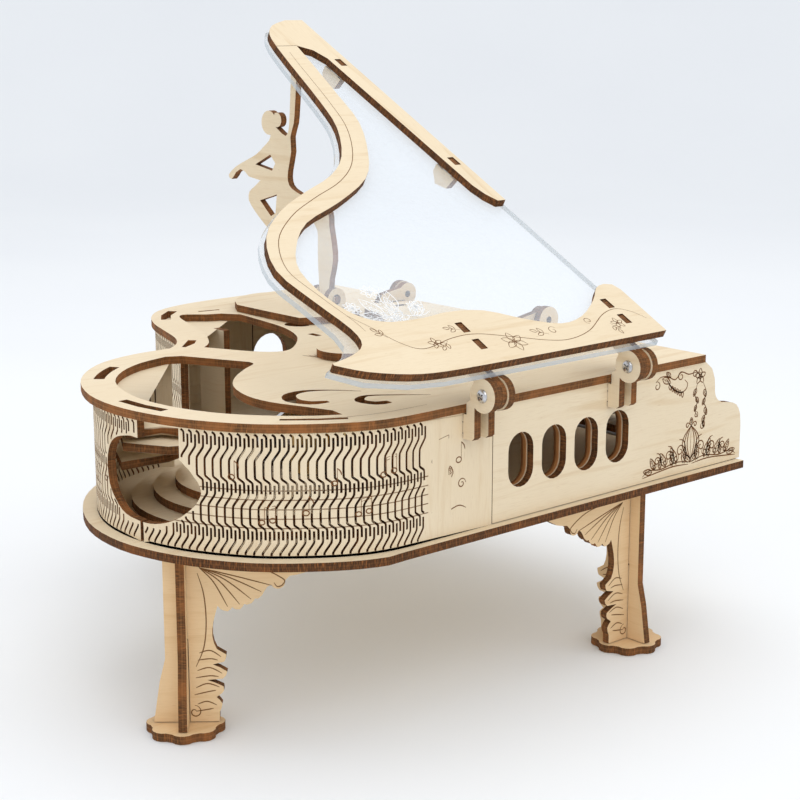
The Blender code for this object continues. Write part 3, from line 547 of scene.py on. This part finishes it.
# one slit: (along the sheet, down from its start)
SLIT_SHAPE = [(0.0, 0.0), (0.0, 3.4), (0.3, 4.4), (1.25, 5.8), (2.2, 7.2), (2.5, 8.3), (2.5, 12.8),
              (2.2, 13.8), (0.7, 14.9), (0.4, 15.8), (0.4, 18.7)]
ROW_STEP = 15.7
ROW_SHIFT = 1.85          # each row starts between the ends of the row above


def inset_path(path, amounts):
    result = []
    for i, point in enumerate(path):
        before = path[max(i - 1, 0)]
        after = path[min(i + 1, len(path) - 1)]
        dx, dy = after[0] - before[0], after[1] - before[1]
        size = math.hypot(dx, dy)
        result.append((point[0] + dy / size * amounts[i], point[1] - dx / size * amounts[i]))
    return result


def far_side(point):
    return min(max((point[0] - 66.0) / 52.0, 0.0), 1.0)


class Path:
    """A polyline walked by distance, giving a point and a smooth outward normal."""

    def __init__(self, points):
        self.points = [Vector((x, y, 0)) for x, y in points]
        self.at = [0.0]
        for a, b in zip(self.points, self.points[1:]):
            self.at.append(self.at[-1] + (b - a).length)
        self.length = self.at[-1]
        directions = [(b - a).normalized() for a, b in zip(self.points, self.points[1:])]
        self.normals = []
        for i in range(len(self.points)):
            d = (directions[max(i - 1, 0)] + directions[min(i, len(directions) - 1)]).normalized()
            self.normals.append(Vector((-d.y, d.x, 0)))

    def __call__(self, s, lift=0.0):
        s = min(max(s, 0.0), self.length)
        i = 0
        while i < len(self.at) - 2 and self.at[i + 1] < s:
            i += 1
        f = (s - self.at[i]) / (self.at[i + 1] - self.at[i])
        normal = self.normals[i].lerp(self.normals[i + 1], f).normalized()
        return self.points[i].lerp(self.points[i + 1], f) + normal * lift, normal

    def place(self, s, v):
        spot, normal = self(s)
        return spot + Vector((0, 0, WALL_Z + v)), normal


def inside(point, polygon):
    hit = False
    for (x0, y0), (x1, y1) in zip(polygon, polygon[1:] + polygon[:1]):
        if (y0 > point[1]) != (y1 > point[1]) and point[0] < (x1 - x0) * (point[1] - y0) / (y1 - y0) + x0:
            hit = not hit
    return hit


def near_edge(point, polygon, margin):
    for (x0, y0), (x1, y1) in zip(polygon, polygon[1:] + polygon[:1]):
        dx, dy = x1 - x0, y1 - y0
        size = dx * dx + dy * dy or 1.0
        f = min(max(((point[0] - x0) * dx + (point[1] - y0) * dy) / size, 0.0), 1.0)
        if math.hypot(point[0] - x0 - f * dx, point[1] - y0 - f * dy) < margin:
            return True
    return False


def slit_loops(start, end, outline, keep_out):
    """Closed thin loops for every slit whose middle line stays in the sheet."""
    loops = []
    fine = catmull(SLIT_SHAPE, 2)
    columns = int((end - start) / PITCH) + 2
    for row in range(-1, 4):
        top = HEIGHT - 1.9 - ROW_STEP * row
        for column in range(-1, columns + 1):
            s0 = start + column * PITCH + (row * ROW_SHIFT) % PITCH
            run = []
            for u, down in fine:
                point = (s0 + u, top - down)
                good = start - 0.2 <= point[0] <= end and 0.1 <= point[1] <= HEIGHT - 0.1
                good = good and inside(point, outline) and not near_edge(point, outline, 0.46)
                good = good and not any(inside(point, hole) or near_edge(point, hole, 0.7) for hole in keep_out)
                if good:
                    run.append(point)
                elif len(run) > 3:
                    break
                else:
                    run = []
            if len(run) < 4 or math.dist(run[0], run[-1]) < 1.6:
                continue
            left = shifted_side(run, SLIT / 2)
            right = shifted_side(run, -SLIT / 2)
            loops.append(left + right[::-1])
    return loops


def densify(points, step=1.6):
    result = []
    for a, b in zip(points, points[1:] + points[:1]):
        count = max(1, int(math.dist(a, b) / step))
        result += [(a[0] + (b[0] - a[0]) * k / count, a[1] + (b[1] - a[1]) * k / count) for k in range(count)]
    return result


def slit_sheet(name, path, outline, start, end, holes, node, seed, burn, staff):
    """A sheet cut flat with its slits, then bent along its path."""
    loops = [densify(outline)] + holes + slit_loops(start, end, outline, holes)
    mesh = outline_mesh(name, loops, PLY)
    flat = []
    for vertex in mesh.vertices:
        s, v, w = vertex.co
        flat.append((s * MM, v * MM, (w + PLY / 2) * MM))
    rims = []
    for polygon in mesh.polygons:
        rims.append(0.0 if abs(polygon.normal.z) > 0.5 else 1.0)
    for vertex in mesh.vertices:
        s, v, w = vertex.co
        spot, _ = path(s, w - PLY / 2)
        vertex.co = world(spot + Vector((0, 0, WALL_Z + v)))
    sheet = mesh.attributes.new("flat", "FLOAT_VECTOR", "POINT")
    sheet.data.foreach_set("vector", [c for co in flat for c in co])
    mark = mesh.attributes.new("rim", "FLOAT", "FACE")
    mark.data.foreach_set("value", rims)
    mesh.update()
    piece = adopt(name, mesh, [ply_bent("ply_" + name, seed, burn, staff)], "case", 30)
    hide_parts(node)
    return piece


tail_outer = [(WALL_INSET, 113.1)] + inset_path(TAIL, [WALL_INSET + TAIL_DRAW_IN * far_side(p) for p in TAIL])
SEAM = 20
spine_path = Path(tail_outer[:SEAM + 1])
seam_step = Vector(tail_outer[SEAM + 1]) - Vector(tail_outer[SEAM])
far_start = Vector(tail_outer[SEAM]) + seam_step.normalized() * 0.54
far_path = Path([tuple(far_start)] + tail_outer[SEAM + 1:-2] + [(142.8, 152.0)])
bent_path = Path([(149.8, 141.4)] + inset_path(BENT, [WALL_INSET] * len(BENT))[3:-1] + [(WIDTH - WALL_INSET, 50.0)])


def window_s(path, local):
    """Distance along a path at which the tail window's own cross coordinate is reached."""
    turn = math.radians(11.0)
    centre = Vector((76.0 - 40.0 * math.sin(turn), 148.0 + 40.0 * math.cos(turn), 0))
    across = Vector((-math.cos(turn), -math.sin(turn), 0))
    best = min(range(0, int(path.length * 4) + 1), key=lambda k: abs((path(k / 4)[0] - centre).dot(across) - local))
    return best / 4


near_window = catmull([(-3.4, 51.2), (4.0, 51.6), (13.0, 54.6), (20.6, 60.6), (22.6, 66.0), (19.4, 71.4),
                       (15.0, 75.4)], 4) + [(15.0, WALL_TOP + LIP)]
near_window = [(window_s(spine_path, x), z - WALL_Z) for x, z in near_window[1:]]
spine_end = spine_path.length - 0.5
spine_outline = [(0, -LIP), (spine_end, -LIP), (spine_end, 6.9)] + near_window + [(0, HEIGHT + LIP)]
bracket_holes = []
for middle in (122.6 - 3.3, 122.6 + 3.3):
    low = middle - 1.65 - 113.1
    bracket_holes.append([(low, 79.4 - WALL_Z), (low + 3.3, 79.4 - WALL_Z), (low + 3.3, 83.6 - WALL_Z),
                          (low, 83.6 - WALL_Z)])
slit_sheet("slit_wall_spine", spine_path, spine_outline, 31.5, spine_path.length - 1.0, bracket_holes,
           "tail_skirt_spine", 1.3, 0.5, True)

far_window = catmull([(-3.9, 80.3), (-9.0, 80.2), (-18.0, 77.4), (-23.6, 70.4), (-22.8, 60.4), (-14.0, 53.0),
                      (-3.9, 51.3)], 4)
far_window = [(window_s(far_path, x), z - WALL_Z) for x, z in far_window]
far_window = [(0.6, far_window[0][1])] + far_window[1:-1] + [(0.6, far_window[-1][1])]
far_outline = [(0.6, -LIP), (far_path.length, -LIP), (far_path.length, HEIGHT + LIP), (0.6, HEIGHT + LIP)] + far_window
slit_sheet("slit_wall_far", far_path, far_outline, 1.0, far_path.length - 6.0, [], "tail_skirt_far", 4.1, 0.5, True)

bent_outline = [(0, -LIP), (bent_path.length, -LIP), (bent_path.length, HEIGHT + LIP), (0, HEIGHT + LIP)]
slit_sheet("slit_wall_bentside", bent_path, bent_outline, 3.0, bent_path.length - 42.0, [], "bentside_skirt", 6.7,
           0.5, False)

# ---------------------------------------------------------------- notes engraved on the wall's staff
def note(s, v, size, flag=True):
    head = circle((s, v), 0.9 * size, 12)
    head = [(s + (u - s) * 1.25, w) for u, w in head] + [(s + 0.9 * size * 1.25, v)]
    stem = [(s - 1.05 * size, v), (s - 1.05 * size, v + 5.6 * size)]
    strokes = [head, stem]
    if flag:
        strokes.append(catmull([(s - 1.05 * size, v + 5.6 * size), (s - 2.2 * size, v + 4.4 * size),
                                (s - 2.6 * size, v + 3.0 * size)]))
    return strokes


def beamed(s, v, size):
    strokes = note(s, v, size, False) + note(s - 4.0 * size, v + 0.8 * size, size, False)
    top = v + 5.6 * size
    strokes.append([(s - 1.05 * size, top), (s - 5.05 * size, top + 0.8 * size)])
    strokes.append([(s - 1.05 * size, top - 0.9 * size), (s - 5.05 * size, top - 0.1 * size)])
    return strokes


notes = beamed(49.0, 26.5, 1.0) + note(66.0, 25.0, 0.9) + note(75.5, 15.2, 1.0) + beamed(90.0, 12.0, 0.9)
notes += note(100.0, 27.0, 1.0) + beamed(58.0, 14.0, 0.9)
engrave("wall_notes", notes, spine_path.place, "case", 0.42)
notes = note(24.0, 17.0, 1.0) + beamed(40.0, 13.0, 0.9) + note(55.0, 24.0, 0.9)
engrave("wall_notes_far", notes, far_path.place, "case", 0.42)
flourish = beamed(27.0, 27.5, 1.25) + note(16.0, 26.0, 1.1)
flourish += [spiral((22.5, 15.0), 3.0, 0.5, 20, 520), spiral((14.6, 17.4), 2.0, 0.4, 180, -480)]
flourish += leaf((25.4, 13.0), 200, 5.0, 2.4) + leaf((19.6, 13.4), 340, 5.4, 2.4) + leaf((19.4, 20.4), 80, 4.2, 2.0)
flourish += [catmull([(28.4, 9.6), (22.0, 8.6), (16.0, 9.8), (12.4, 8.4)], 5)]
engrave("wall_flourish", flourish, spine_path.place, "case", 0.44)

# ---------------------------------------------------------------- crest and corner scroll on the spine panel
def crest(middle, floor, reach):
    """Half of a symmetrical crest standing on a line: rising scrolls and leaves, tallest in the middle."""
    half = []
    half.append(catmull([(middle - 1.0, floor + 1.0), (middle - reach * 0.30, floor + 2.2),
                         (middle - reach * 0.62, floor + 1.0), (middle - reach * 0.86, floor + 1.6),
                         (middle - reach, floor - 0.2)], 6))
    half.append(catmull([(middle - 1.0, floor + 0.2), (middle - reach * 0.36, floor + 0.8),
                         (middle - reach * 0.7, floor + 0.1), (middle - reach, floor - 0.8)], 6))
    for where, size in ((0.22, 1.15), (0.46, 0.98), (0.70, 0.80)):
        x = middle - reach * where
        half.append(spiral((x, floor + 5.6 * size), 2.5 * size, 0.4, -80, 560))
        half.append(spiral((x - 2.1 * size, floor + 3.4 * size), 1.5 * size, 0.3, 60, -430))
        half += leaf((x - 1.8 * size, floor + 1.4), 118, 7.0 * size, 2.8 * size)
        half += leaf((x + 1.6 * size, floor + 1.2), 82, 5.6 * size, 2.2 * size)
        half.append(catmull([(x + 2.4 * size, floor + 0.8), (x + 3.1 * size, floor + 4.4 * size),
                             (x + 1.8 * size, floor + 8.6 * size), (x - 0.6 * size, floor + 9.6 * size)], 5))
    half += leaf((middle - reach * 0.80, floor + 0.6), 168, 5.4, 2.2)
    return half


def cartouche(middle, floor):
    strokes = []
    for w in (1.0, 0.72, 0.42):
        side = catmull([(middle, floor + 2.0), (middle - 4.6 * w, floor + 7.0), (middle - 4.2 * w, floor + 11.4),
                        (middle, floor + 15.6)], 6)
        strokes += [side] + mirrored([side], middle)
    strokes.append([(middle, floor + 0.4), (middle, floor + 17.8)])
    strokes += leaf((middle, floor + 15.4), 90, 3.4, 1.8)
    strokes += [spiral((middle - 2.2, floor + 15.8), 1.2, 0.3, 0, 420), spiral((middle + 2.2, floor + 15.8), 1.2, 0.3, 180, -420)]
    strokes += leaf((middle, floor + 1.0), 140, 5.4, 2.2) + leaf((middle, floor + 1.0), 40, 5.4, 2.2)
    return strokes


def corner_scroll():
    strokes = [catmull([(27.2, 82.6), (24.6, 84.2), (20.4, 84.0), (16.0, 82.2), (12.4, 84.6), (8.0, 83.2),
                        (3.4, 83.4), (0.4, 82.8)], 6),
               spiral((26.4, 81.0), 1.9, 0.5, 60, 400), spiral((12.6, 83.0), 1.9, 0.5, 110, -420),
               catmull([(21.0, 83.2), (18.0, 79.6), (13.0, 76.8), (9.6, 77.4), (8.6, 79.6), (10.4, 81.4)], 6),
               catmull([(20.0, 81.2), (15.6, 77.6), (11.0, 76.4)], 6)]
    for k in range(6):
        strokes += leaf((19.4 - 1.6 * k, 80.8 - 0.75 * k), 250 + 4 * k, 2.6, 1.1, False)
    strokes += leaf((23.6, 83.6), 205, 5.6, 2.4)
    strokes += leaf((18.6, 83.4), 40, 3.6, 1.8)
    for k in range(5):
        angle = 72 * k + 18
        strokes += leaf((1.0, 81.4), angle, 3.3, 1.9, False)
    strokes += [circle((1.0, 81.4), 0.9, 10) + [(1.9, 81.4)], circle((4.2, 83.0), 1.2, 10) + [(5.4, 83.0)]]
    left = catmull([(2.6, 78.6), (3.9, 74.6), (2.4, 71.4), (3.4, 68.2), (1.6, 65.2)], 6)
    right = catmull([(-1.0, 78.6), (-3.0, 74.4), (-1.6, 71.0), (-3.4, 67.4), (-1.4, 62.6), (-2.0, 60.4)], 6)
    strokes += [left, right]
    for y, z, heading, size in ((3.0, 77.0, 300, 1.0), (3.2, 73.6, 240, 0.9), (2.8, 70.4, 290, 0.8),
                                (-1.6, 76.0, 250, 1.0), (-2.4, 72.4, 300, 0.9), (-2.2, 68.6, 245, 1.0),
                                (-2.2, 65.6, 285, 1.0), (-1.8, 63.4, 260, 0.8)):
        strokes += leaf((y, z), heading, 3.6 * size, 1.7 * size)
    strokes += [spiral((2.8, 66.4), 1.3, 0.3, 90, 400), spiral((-1.4, 61.2), 1.4, 0.3, 90, -400)]
    return strokes


for label, place, lid_side in (("spine", on_spine(), 1), ("treble", on_treble(), -1)):
    strokes = crest(5.4, 47.0, 28.0)
    strokes += mirrored(strokes, 5.4) + cartouche(5.4, 47.0)
    scroll = corner_scroll()
    engrave("crest_scorch_" + label, strokes, place, "case", 1.7, SCORCH, 0.012, taper=False)
    engrave("scroll_scorch_" + label, scroll, place, "case", 1.3, SCORCH, 0.012, taper=False)
    engrave("crest_" + label, strokes, place, "case", 0.52)
    engrave("scroll_" + label, scroll, place, "case", 0.46)

# ---------------------------------------------------------------- lid: border line, vine and flowers
strip_outer = catmull([(214.0, 71.4), (199.0, 74.4), (169.7, 79.8), (150.0, 85.3), (130.0, 97.6),
                       (117.8, 112.0), (108.6, 130.9), (98.9, 148.3), (84.8, 164.2), (66.0, 172.8), (47.7, 169.9),
                       (31.0, 166.0), (22.6, 167.6), (18.4, 175.0), (16.2, 184.6)], 5)
border = shifted_side(strip_outer, -4.4)[2:-14]
if sum(math.dist(p, (110.0, 100.0)) for p in border) > sum(math.dist(p, (110.0, 100.0)) for p in strip_outer[2:-14]):
    border = shifted_side(strip_outer, 4.4)[2:-14]
vine = catmull([(38.0, 163.0), (30.0, 158.0), (20.6, 153.0), (15.7, 145.9), (18.6, 130.9), (18.5, 119.3), (13.8, 105.5),
                (9.2, 92.7), (7.9, 82.9), (10.6, 70.7), (17.5, 57.5), (19.4, 48.9), (16.6, 43.0), (11.6, 39.2)], 6)
engrave("lid_vine", [border, vine], on_lid(LID_TOP), "lid", 0.30, FINE_LINE)


def rosette(t, y, size, petals=6, turn=0.0):
    strokes = [circle((t, y), 0.8 * size, 10) + [(t + 0.8 * size, y)]]
    for k in range(petals):
        strokes += leaf((t, y), turn + 360 / petals * k, 4.4 * size, 2.3 * size, False)
    return strokes


def sprig(t, y, heading, size):
    c, s = math.cos(math.radians(heading)), math.sin(math.radians(heading))
    strokes = [[(t, y), (t + 5.0 * size * c, y + 5.0 * size * s)]]
    strokes += leaf((t + 2.4 * size * c, y + 2.4 * size * s), heading + 42, 3.6 * size, 1.7 * size, False)
    strokes += leaf((t + 2.4 * size * c, y + 2.4 * size * s), heading - 42, 3.6 * size, 1.7 * size, False)
    strokes += leaf((t + 5.0 * size * c, y + 5.0 * size * s), heading, 3.4 * size, 1.6 * size, False)
    return strokes


flowers = rosette(11.6, 107.6, 1.15) + rosette(17.4, 139.4, 0.7, 5) + sprig(17.6, 134.0, 130, 0.8)
flowers += sprig(12.2, 90.0, 60, 0.9) + [spiral((13.8, 86.6), 2.2, 0.5, -60, 400)]
flowers += [spiral((15.6, 67.0), 2.0, 0.5, 160, -400)] + sprig(12.4, 58.4, 190, 0.8) + rosette(11.8, 54.8, 0.7, 5)
flowers += sprig(24.0, 155.6, 30, 0.8) + sprig(22.0, 124.6, 70, 0.8)
engrave("lid_flowers", flowers, on_lid(LID_TOP), "lid", 0.26)

# a frosted spray of leaves on the clear sheet
frosted = []
for root, heading, size in (((36.0, 150.0), 62, 1.25), ((37.0, 147.0), 96, 1.1), ((38.0, 144.0), 20, 1.0),
                            ((40.0, 138.0), -12, 1.2), ((38.5, 136.0), 40, 1.0), ((36.0, 133.0), -46, 1.0),
                            ((36.0, 141.0), 68, 1.1)):
    frosted += leaf(root, heading, 12.0 * size, 5.0 * size)
    frosted += leaf(root, heading + 8, 7.0 * size, 2.6 * size)
for t, y, size in ((45.0, 154.0, 0.8), (52.0, 141.0, 0.9), (41.0, 128.5, 0.8), (36.5, 140.0, 1.2)):
    frosted += rosette(t, y, size, 8)
frosted.append(catmull([(33.0, 152.0), (37.0, 147.0), (38.0, 139.0), (36.0, 130.0), (38.0, 124.0)], 6))
engrave("lid_frost", frosted, on_lid(8.0), "lid", 0.42, FROST, 0.02)

# ---------------------------------------------------------------- top board engraving
fans = []
for k in range(5):
    fans.append(catmull([(101.6 - 1.2 * k, 117.6 - 1.9 * k), (97.4 - 0.9 * k, 116.4 - 1.2 * k),
                         (93.6 - 0.4 * k, 115.4 - 0.4 * k)], 4))
engrave("top_grass", fans, on_top(), "case", 0.6)
engrave("top_border", [catmull([(8.0, 138.0), (8.6, 156.0), (12.0, 170.0), (19.6, 182.6)], 6)], on_top(), "case", 0.26, FINE_LINE)

# ---------------------------------------------------------------- lining behind the long holes
def stadium(centre, width, height, count=14):
    half = width / 2
    straight = height / 2 - half
    return (circle((centre[0], centre[1] + straight), half, count, 0, 180)
            + circle((centre[0], centre[1] - straight), half, count, 180, 180))


TO_YZ = Matrix(((0, 0, 1, 0), (1, 0, 0, 0), (0, 1, 0, 0), (0, 0, 0, 1)))
lining = [[(38.6, 47.0), (109.0, 47.0), (109.0, 78.4), (38.6, 78.4)]]
lining += [stadium((48.3 + 16.9 * k, 65.3), 12.5, 20.0) for k in range(4)]
board("spine_lining", lining, PLY, Matrix.Translation((4.5 + 0.3 + 1.5, 0, 0)) @ TO_YZ, "case", seed=3.3, burn=-0.9)

# shelves seen through the tail window
SHELVES = (([(88.6, 208.6), (87.0, 190.0), (92.0, 176.0), (112.0, 168.0), (124.0, 176.0), (114.0, 193.0),
             (103.0, 201.6)], 64.7),
           ([(86.0, 209.2), (71.0, 200.6), (66.0, 189.0), (80.0, 180.0), (104.0, 188.0), (102.6, 200.0)], 72.3),
           ([(85.0, 208.6), (82.0, 196.0), (73.0, 191.6), (76.0, 183.0), (100.0, 183.0), (103.6, 198.0)], 76.7))
for number, (loop, z) in enumerate(SHELVES):
    board("tail_shelf_%d" % (number + 1), [loop], PLY, Matrix.Translation((0, 0, z)), "case", seed=2.1 + number,
          burn=0.4)

# ---------------------------------------------------------------- black keys
sharps_mesh = bpy.data.meshes.new("sharp_keys")


def black_keys():
    """Raised dark keys on the key banks, one mesh for each bank so they move with it."""
    body_of_bank = {n: b for b, names in frame["record"]["behaviour"]["bodies"].items() for n in names}
    count = 0
    for bank in range(1, 7):
        node = "key_bank_%d" % bank
        low, high = [(Vector(c) - ORIGIN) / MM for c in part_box(node)]
        vertices, faces = [], []
        width = (high.x - low.x) / 5
        for k in range(5):
            count += 1
            if count % 7 in (3, 0) or k == 4:
                continue
            x = low.x + width * (k + 1)
            first = len(vertices)
            front, back, top = low.y + 7.4, low.y + 18.4, high.z
            for inset, z in ((0.0, top + 0.02), (0.0, top + 1.3), (0.3, top + 1.6)):
                for px, py in ((x - 1.5 + inset, front + inset * 2), (x + 1.5 - inset, front + inset * 2),
                               (x + 1.5 - inset, back), (x - 1.5 + inset, back)):
                    vertices.append(world((px, py, z)))
            for ring in range(2):
                for c in range(4):
                    a = first + ring * 4 + c
                    b = first + ring * 4 + (c + 1) % 4
                    faces.append((a, b, b + 4, a + 4))
            faces.append(tuple(first + 8 + c for c in range(4)))
            faces.append(tuple(first + c for c in range(4))[::-1])
        new_object("sharp_keys_%d" % bank, vertices, faces, [KEY_BLACK], body_of_bank[node])


KEY_BLACK = engraving("stained_key", (0.030, 0.018, 0.012))
bpy.data.meshes.remove(sharps_mesh)
black_keys()

# ---------------------------------------------------------------- hinge screws
def screw(name, y, node):
    """A pan-head screw with a cross recess."""
    low, high = [(Vector(c) - ORIGIN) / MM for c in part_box(node)]
    centre = Vector(((low.x + high.x) / 2, 0, (low.z + high.z) / 2))
    spin = Matrix.Rotation(math.radians(90), 4, "X")
    tail_end = Matrix.Translation((centre.x, high.y, centre.z)) @ Matrix.Rotation(math.radians(-90), 4, "X")
    head = [(0.05, -0.02), (1.3, -0.06), (2.0, -0.34), (2.35, -0.8), (2.4, -1.35), (2.1, -1.42), (1.2, -1.42),
            (1.2, -(high.y - low.y) + 0.4), (0.9, -(high.y - low.y) + 0.1), (0.2, -(high.y - low.y) + 0.05)]
    del spin
    piece = lathe(name, head, tail_end, "case", STEEL, 28)
    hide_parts(node)
    # The cross recess is not cut into the head: two flat near-black bars laid on it are painted shade standing in for
    # the hollow.
    recess_shade_vertices, recess_shade_faces = [], []
    for angle in (35, 125):
        c, s = math.cos(math.radians(angle)), math.sin(math.radians(angle))
        first = len(recess_shade_vertices)
        for u, v, w in ((-1.35, -0.22, 0.02), (1.35, -0.22, 0.02), (1.35, 0.22, 0.02), (-1.35, 0.22, 0.02),
                        (-0.3, -0.12, -0.6), (0.3, -0.12, -0.6), (0.3, 0.12, -0.6), (-0.3, 0.12, -0.6)):
            recess_shade_vertices.append(world(tail_end @ Vector((u * c - v * s, u * s + v * c, w - 0.05))))
        recess_shade_faces += [(first, first + 1, first + 2, first + 3)]
    new_object(name + "_recess_shade", recess_shade_vertices, recess_shade_faces, [engraving(name + "_shadow", (0.06, 0.06, 0.065))],
               "case")
    return piece


screw("hinge_screw_front_detail", 49.6, "front_hinge_screw")
screw("hinge_screw_rear_detail", 122.6, "rear_hinge_screw")

# ---------------------------------------------------------------- leg engraving: shells and acanthus
def leg_ornament(height):
    """Lines on an ornate leg plate: (out from the corner, up from the foot)."""
    strokes = []
    for tip in ((15.4, 41.6), (19.5, 42.4), (23.4, 44.2), (26.9, 46.8), (30.6, 49.0)):
        strokes.append(catmull([(6.0, height - 4.0), (6.0 + (tip[0] - 6.0) * 0.5, height - 6.4 + (tip[1] - 52.0) * 0.25),
                                tip], 6))
    strokes.append(catmull([(6.0, height - 2.6), (24.0, height - 3.6), (34.0, 51.6), (34.2, 49.4), (32.4, 48.6),
                            (31.2, 50.0)], 6))
    strokes.append(catmull([(5.4, height - 6.0), (7.4, 46.0), (8.0, 36.0), (7.0, 27.0), (4.2, 20.0)], 6))
    for root, tip, bend in (((5.4, 25.0), (12.8, 23.6), 1.6), ((4.6, 18.6), (13.0, 17.6), 1.6),
                            ((4.0, 12.4), (12.0, 12.6), 1.4), ((4.4, 6.4), (11.0, 6.0), 1.2)):
        middle = ((root[0] + tip[0]) / 2, (root[1] + tip[1]) / 2 + bend)
        strokes.append(catmull([root, middle, tip], 6))
        strokes.append(catmull([(root[0] - 0.6, root[1] - 2.6), (middle[0], middle[1] - 3.0), (tip[0] - 1.2, tip[1] - 1.2)],
                               6))
    strokes.append(spiral((3.4, 3.6), 2.4, 0.5, 90, -420))
    return strokes


def engrave_legs():
    """Both faces of every leg plate; the plate's own box gives its plane and its corner."""
    for leg in ("bass_leg", "treble_leg", "tail_leg"):
        for plate in ("plate_a", "plate_b"):
            node = NODES["%s_%s" % (leg, plate)]
            points = [v.co.copy() for v in node.data.vertices]
            axis, low, thickness = sheet_axis(points)
            out = UP.cross(axis).normalized()
            floor = min(p.z for p in points)
            top = max(p.z for p in points)
            reaches = [p.dot(out) for p in points]
            high_reach = [p.dot(out) for p in points if p.z > top - 0.001]
            low_reach = [p.dot(out) for p in points if p.z < floor + 0.001]
            corner_side = 1 if abs(max(high_reach) - max(low_reach)) > abs(min(high_reach) - min(low_reach)) else -1
            heel = min(reaches) if corner_side > 0 else max(reaches)
            height = (top - floor) / MM
            for face, sign in (("front", 1), ("back", -1)):
                level = low + thickness if sign > 0 else low

                def place(u, v, level=level, sign=sign, heel=heel, side=corner_side, out=out, axis=axis, floor=floor):
                    spot = axis * level + out * (heel + side * (u + 10.7) * MM) + UP * (floor + v * MM)
                    return (spot - ORIGIN) / MM, axis * sign
                engrave("%s_%s_lines_%s" % (leg, plate, face), leg_ornament(height), place, "case", 0.42, FINE_LINE)


engrave_legs()

# ---------------------------------------------------------------- stage, light and camera
def stage_material():
    material, tree, bsdf = blank("studio_paper")
    place = add(tree, "ShaderNodeTexCoord").outputs["Object"]
    tone = noise(tree, place, 3.0, 2.0)
    tree.links.new(ramp(tree, tone, [(0.3, (0.87, 0.885, 0.905)), (0.7, (0.89, 0.905, 0.92))]), bsdf.inputs["Base Color"])
    bsdf.inputs["Roughness"].default_value = 0.85
    bsdf.inputs["Specular IOR Level"].default_value = 0.1
    return material


def stage_floor():
    """One seamless sheet: level under the model, sweeping up to a low wall far behind it."""
    vertices, faces = [], []
    rings = [(0.0, 0.0), (0.5, 0.0), (1.5, 0.0)]
    rings += [(1.5 + 0.9 * math.sin(math.radians(a)), 0.9 - 0.9 * math.cos(math.radians(a))) for a in range(6, 61, 6)]
    count = 72
    for radius, height in rings[1:]:
        for k in range(count):
            a = 2 * math.pi * k / count
            vertices.append((radius * math.cos(a), radius * math.sin(a), height - 0.0002))
    vertices.append((0, 0, -0.0002))
    for k in range(count):
        faces.append((len(vertices) - 1, k, (k + 1) % count))
    for r in range(len(rings) - 2):
        for k in range(count):
            n = (k + 1) % count
            faces.append((r * count + k, (r + 1) * count + k, (r + 1) * count + n, r * count + n))
    mesh = bpy.data.meshes.new("studio_floor")
    mesh.from_pydata(vertices, [], faces)
    mesh.polygons.foreach_set("use_smooth", [True] * len(mesh.polygons))
    mesh.materials.append(stage_material())
    floor = bpy.data.objects.new("studio_floor", mesh)
    bpy.context.scene.collection.objects.link(floor)


stage_floor()
scene = bpy.context.scene
studio = bpy.data.worlds.new("studio")
scene.world = studio
studio.use_nodes = True
sky = studio.node_tree.nodes["Background"]
sky.inputs[0].default_value = (0.94, 0.965, 1.0, 1)
sky.inputs[1].default_value = 0.93


def soft_light(name, location, target, size, power, colour=(1, 1, 1)):
    data = bpy.data.lights.new(name, "AREA")
    data.size = size
    data.energy = power
    data.color = colour
    light = bpy.data.objects.new(name, data)
    scene.collection.objects.link(light)
    light.location = location
    light.rotation_mode = "QUATERNION"
    light.rotation_quaternion = (Vector(target) - Vector(location)).to_track_quat("-Z", "Y")


soft_light("key_light", (-0.75, 0.35, 0.85), (0, 0, 0.1), 0.5, 1.5, (1.0, 0.95, 0.88))
soft_light("top_light", (0.1, -0.2, 1.3), (0, 0, 0.1), 1.0, 4.2, (1.0, 0.98, 0.95))
soft_light("fill_light", (0.2, 1.1, 0.4), (0, 0, 0.1), 0.8, 0.5, (0.97, 0.98, 1.0))

camera_data = bpy.data.cameras.new("camera")
camera_data.lens = 78.73
camera_data.sensor_width = 36
camera_data.clip_start = 0.01
camera_data.clip_end = 100
camera = bpy.data.objects.new("camera", camera_data)
scene.collection.objects.link(camera)
scene.camera = camera
YAW, PITCH_DOWN = math.radians(48.65), math.radians(12.885)
heading = Vector((math.sin(YAW) * math.cos(PITCH_DOWN), -math.cos(YAW) * math.cos(PITCH_DOWN), -math.sin(PITCH_DOWN)))
camera.location = world((-418.58, 525.49, 223.38))
camera.rotation_mode = "QUATERNION"
camera.rotation_quaternion = heading.to_track_quat("-Z", "Y")
scene.view_settings.view_transform = "Standard"
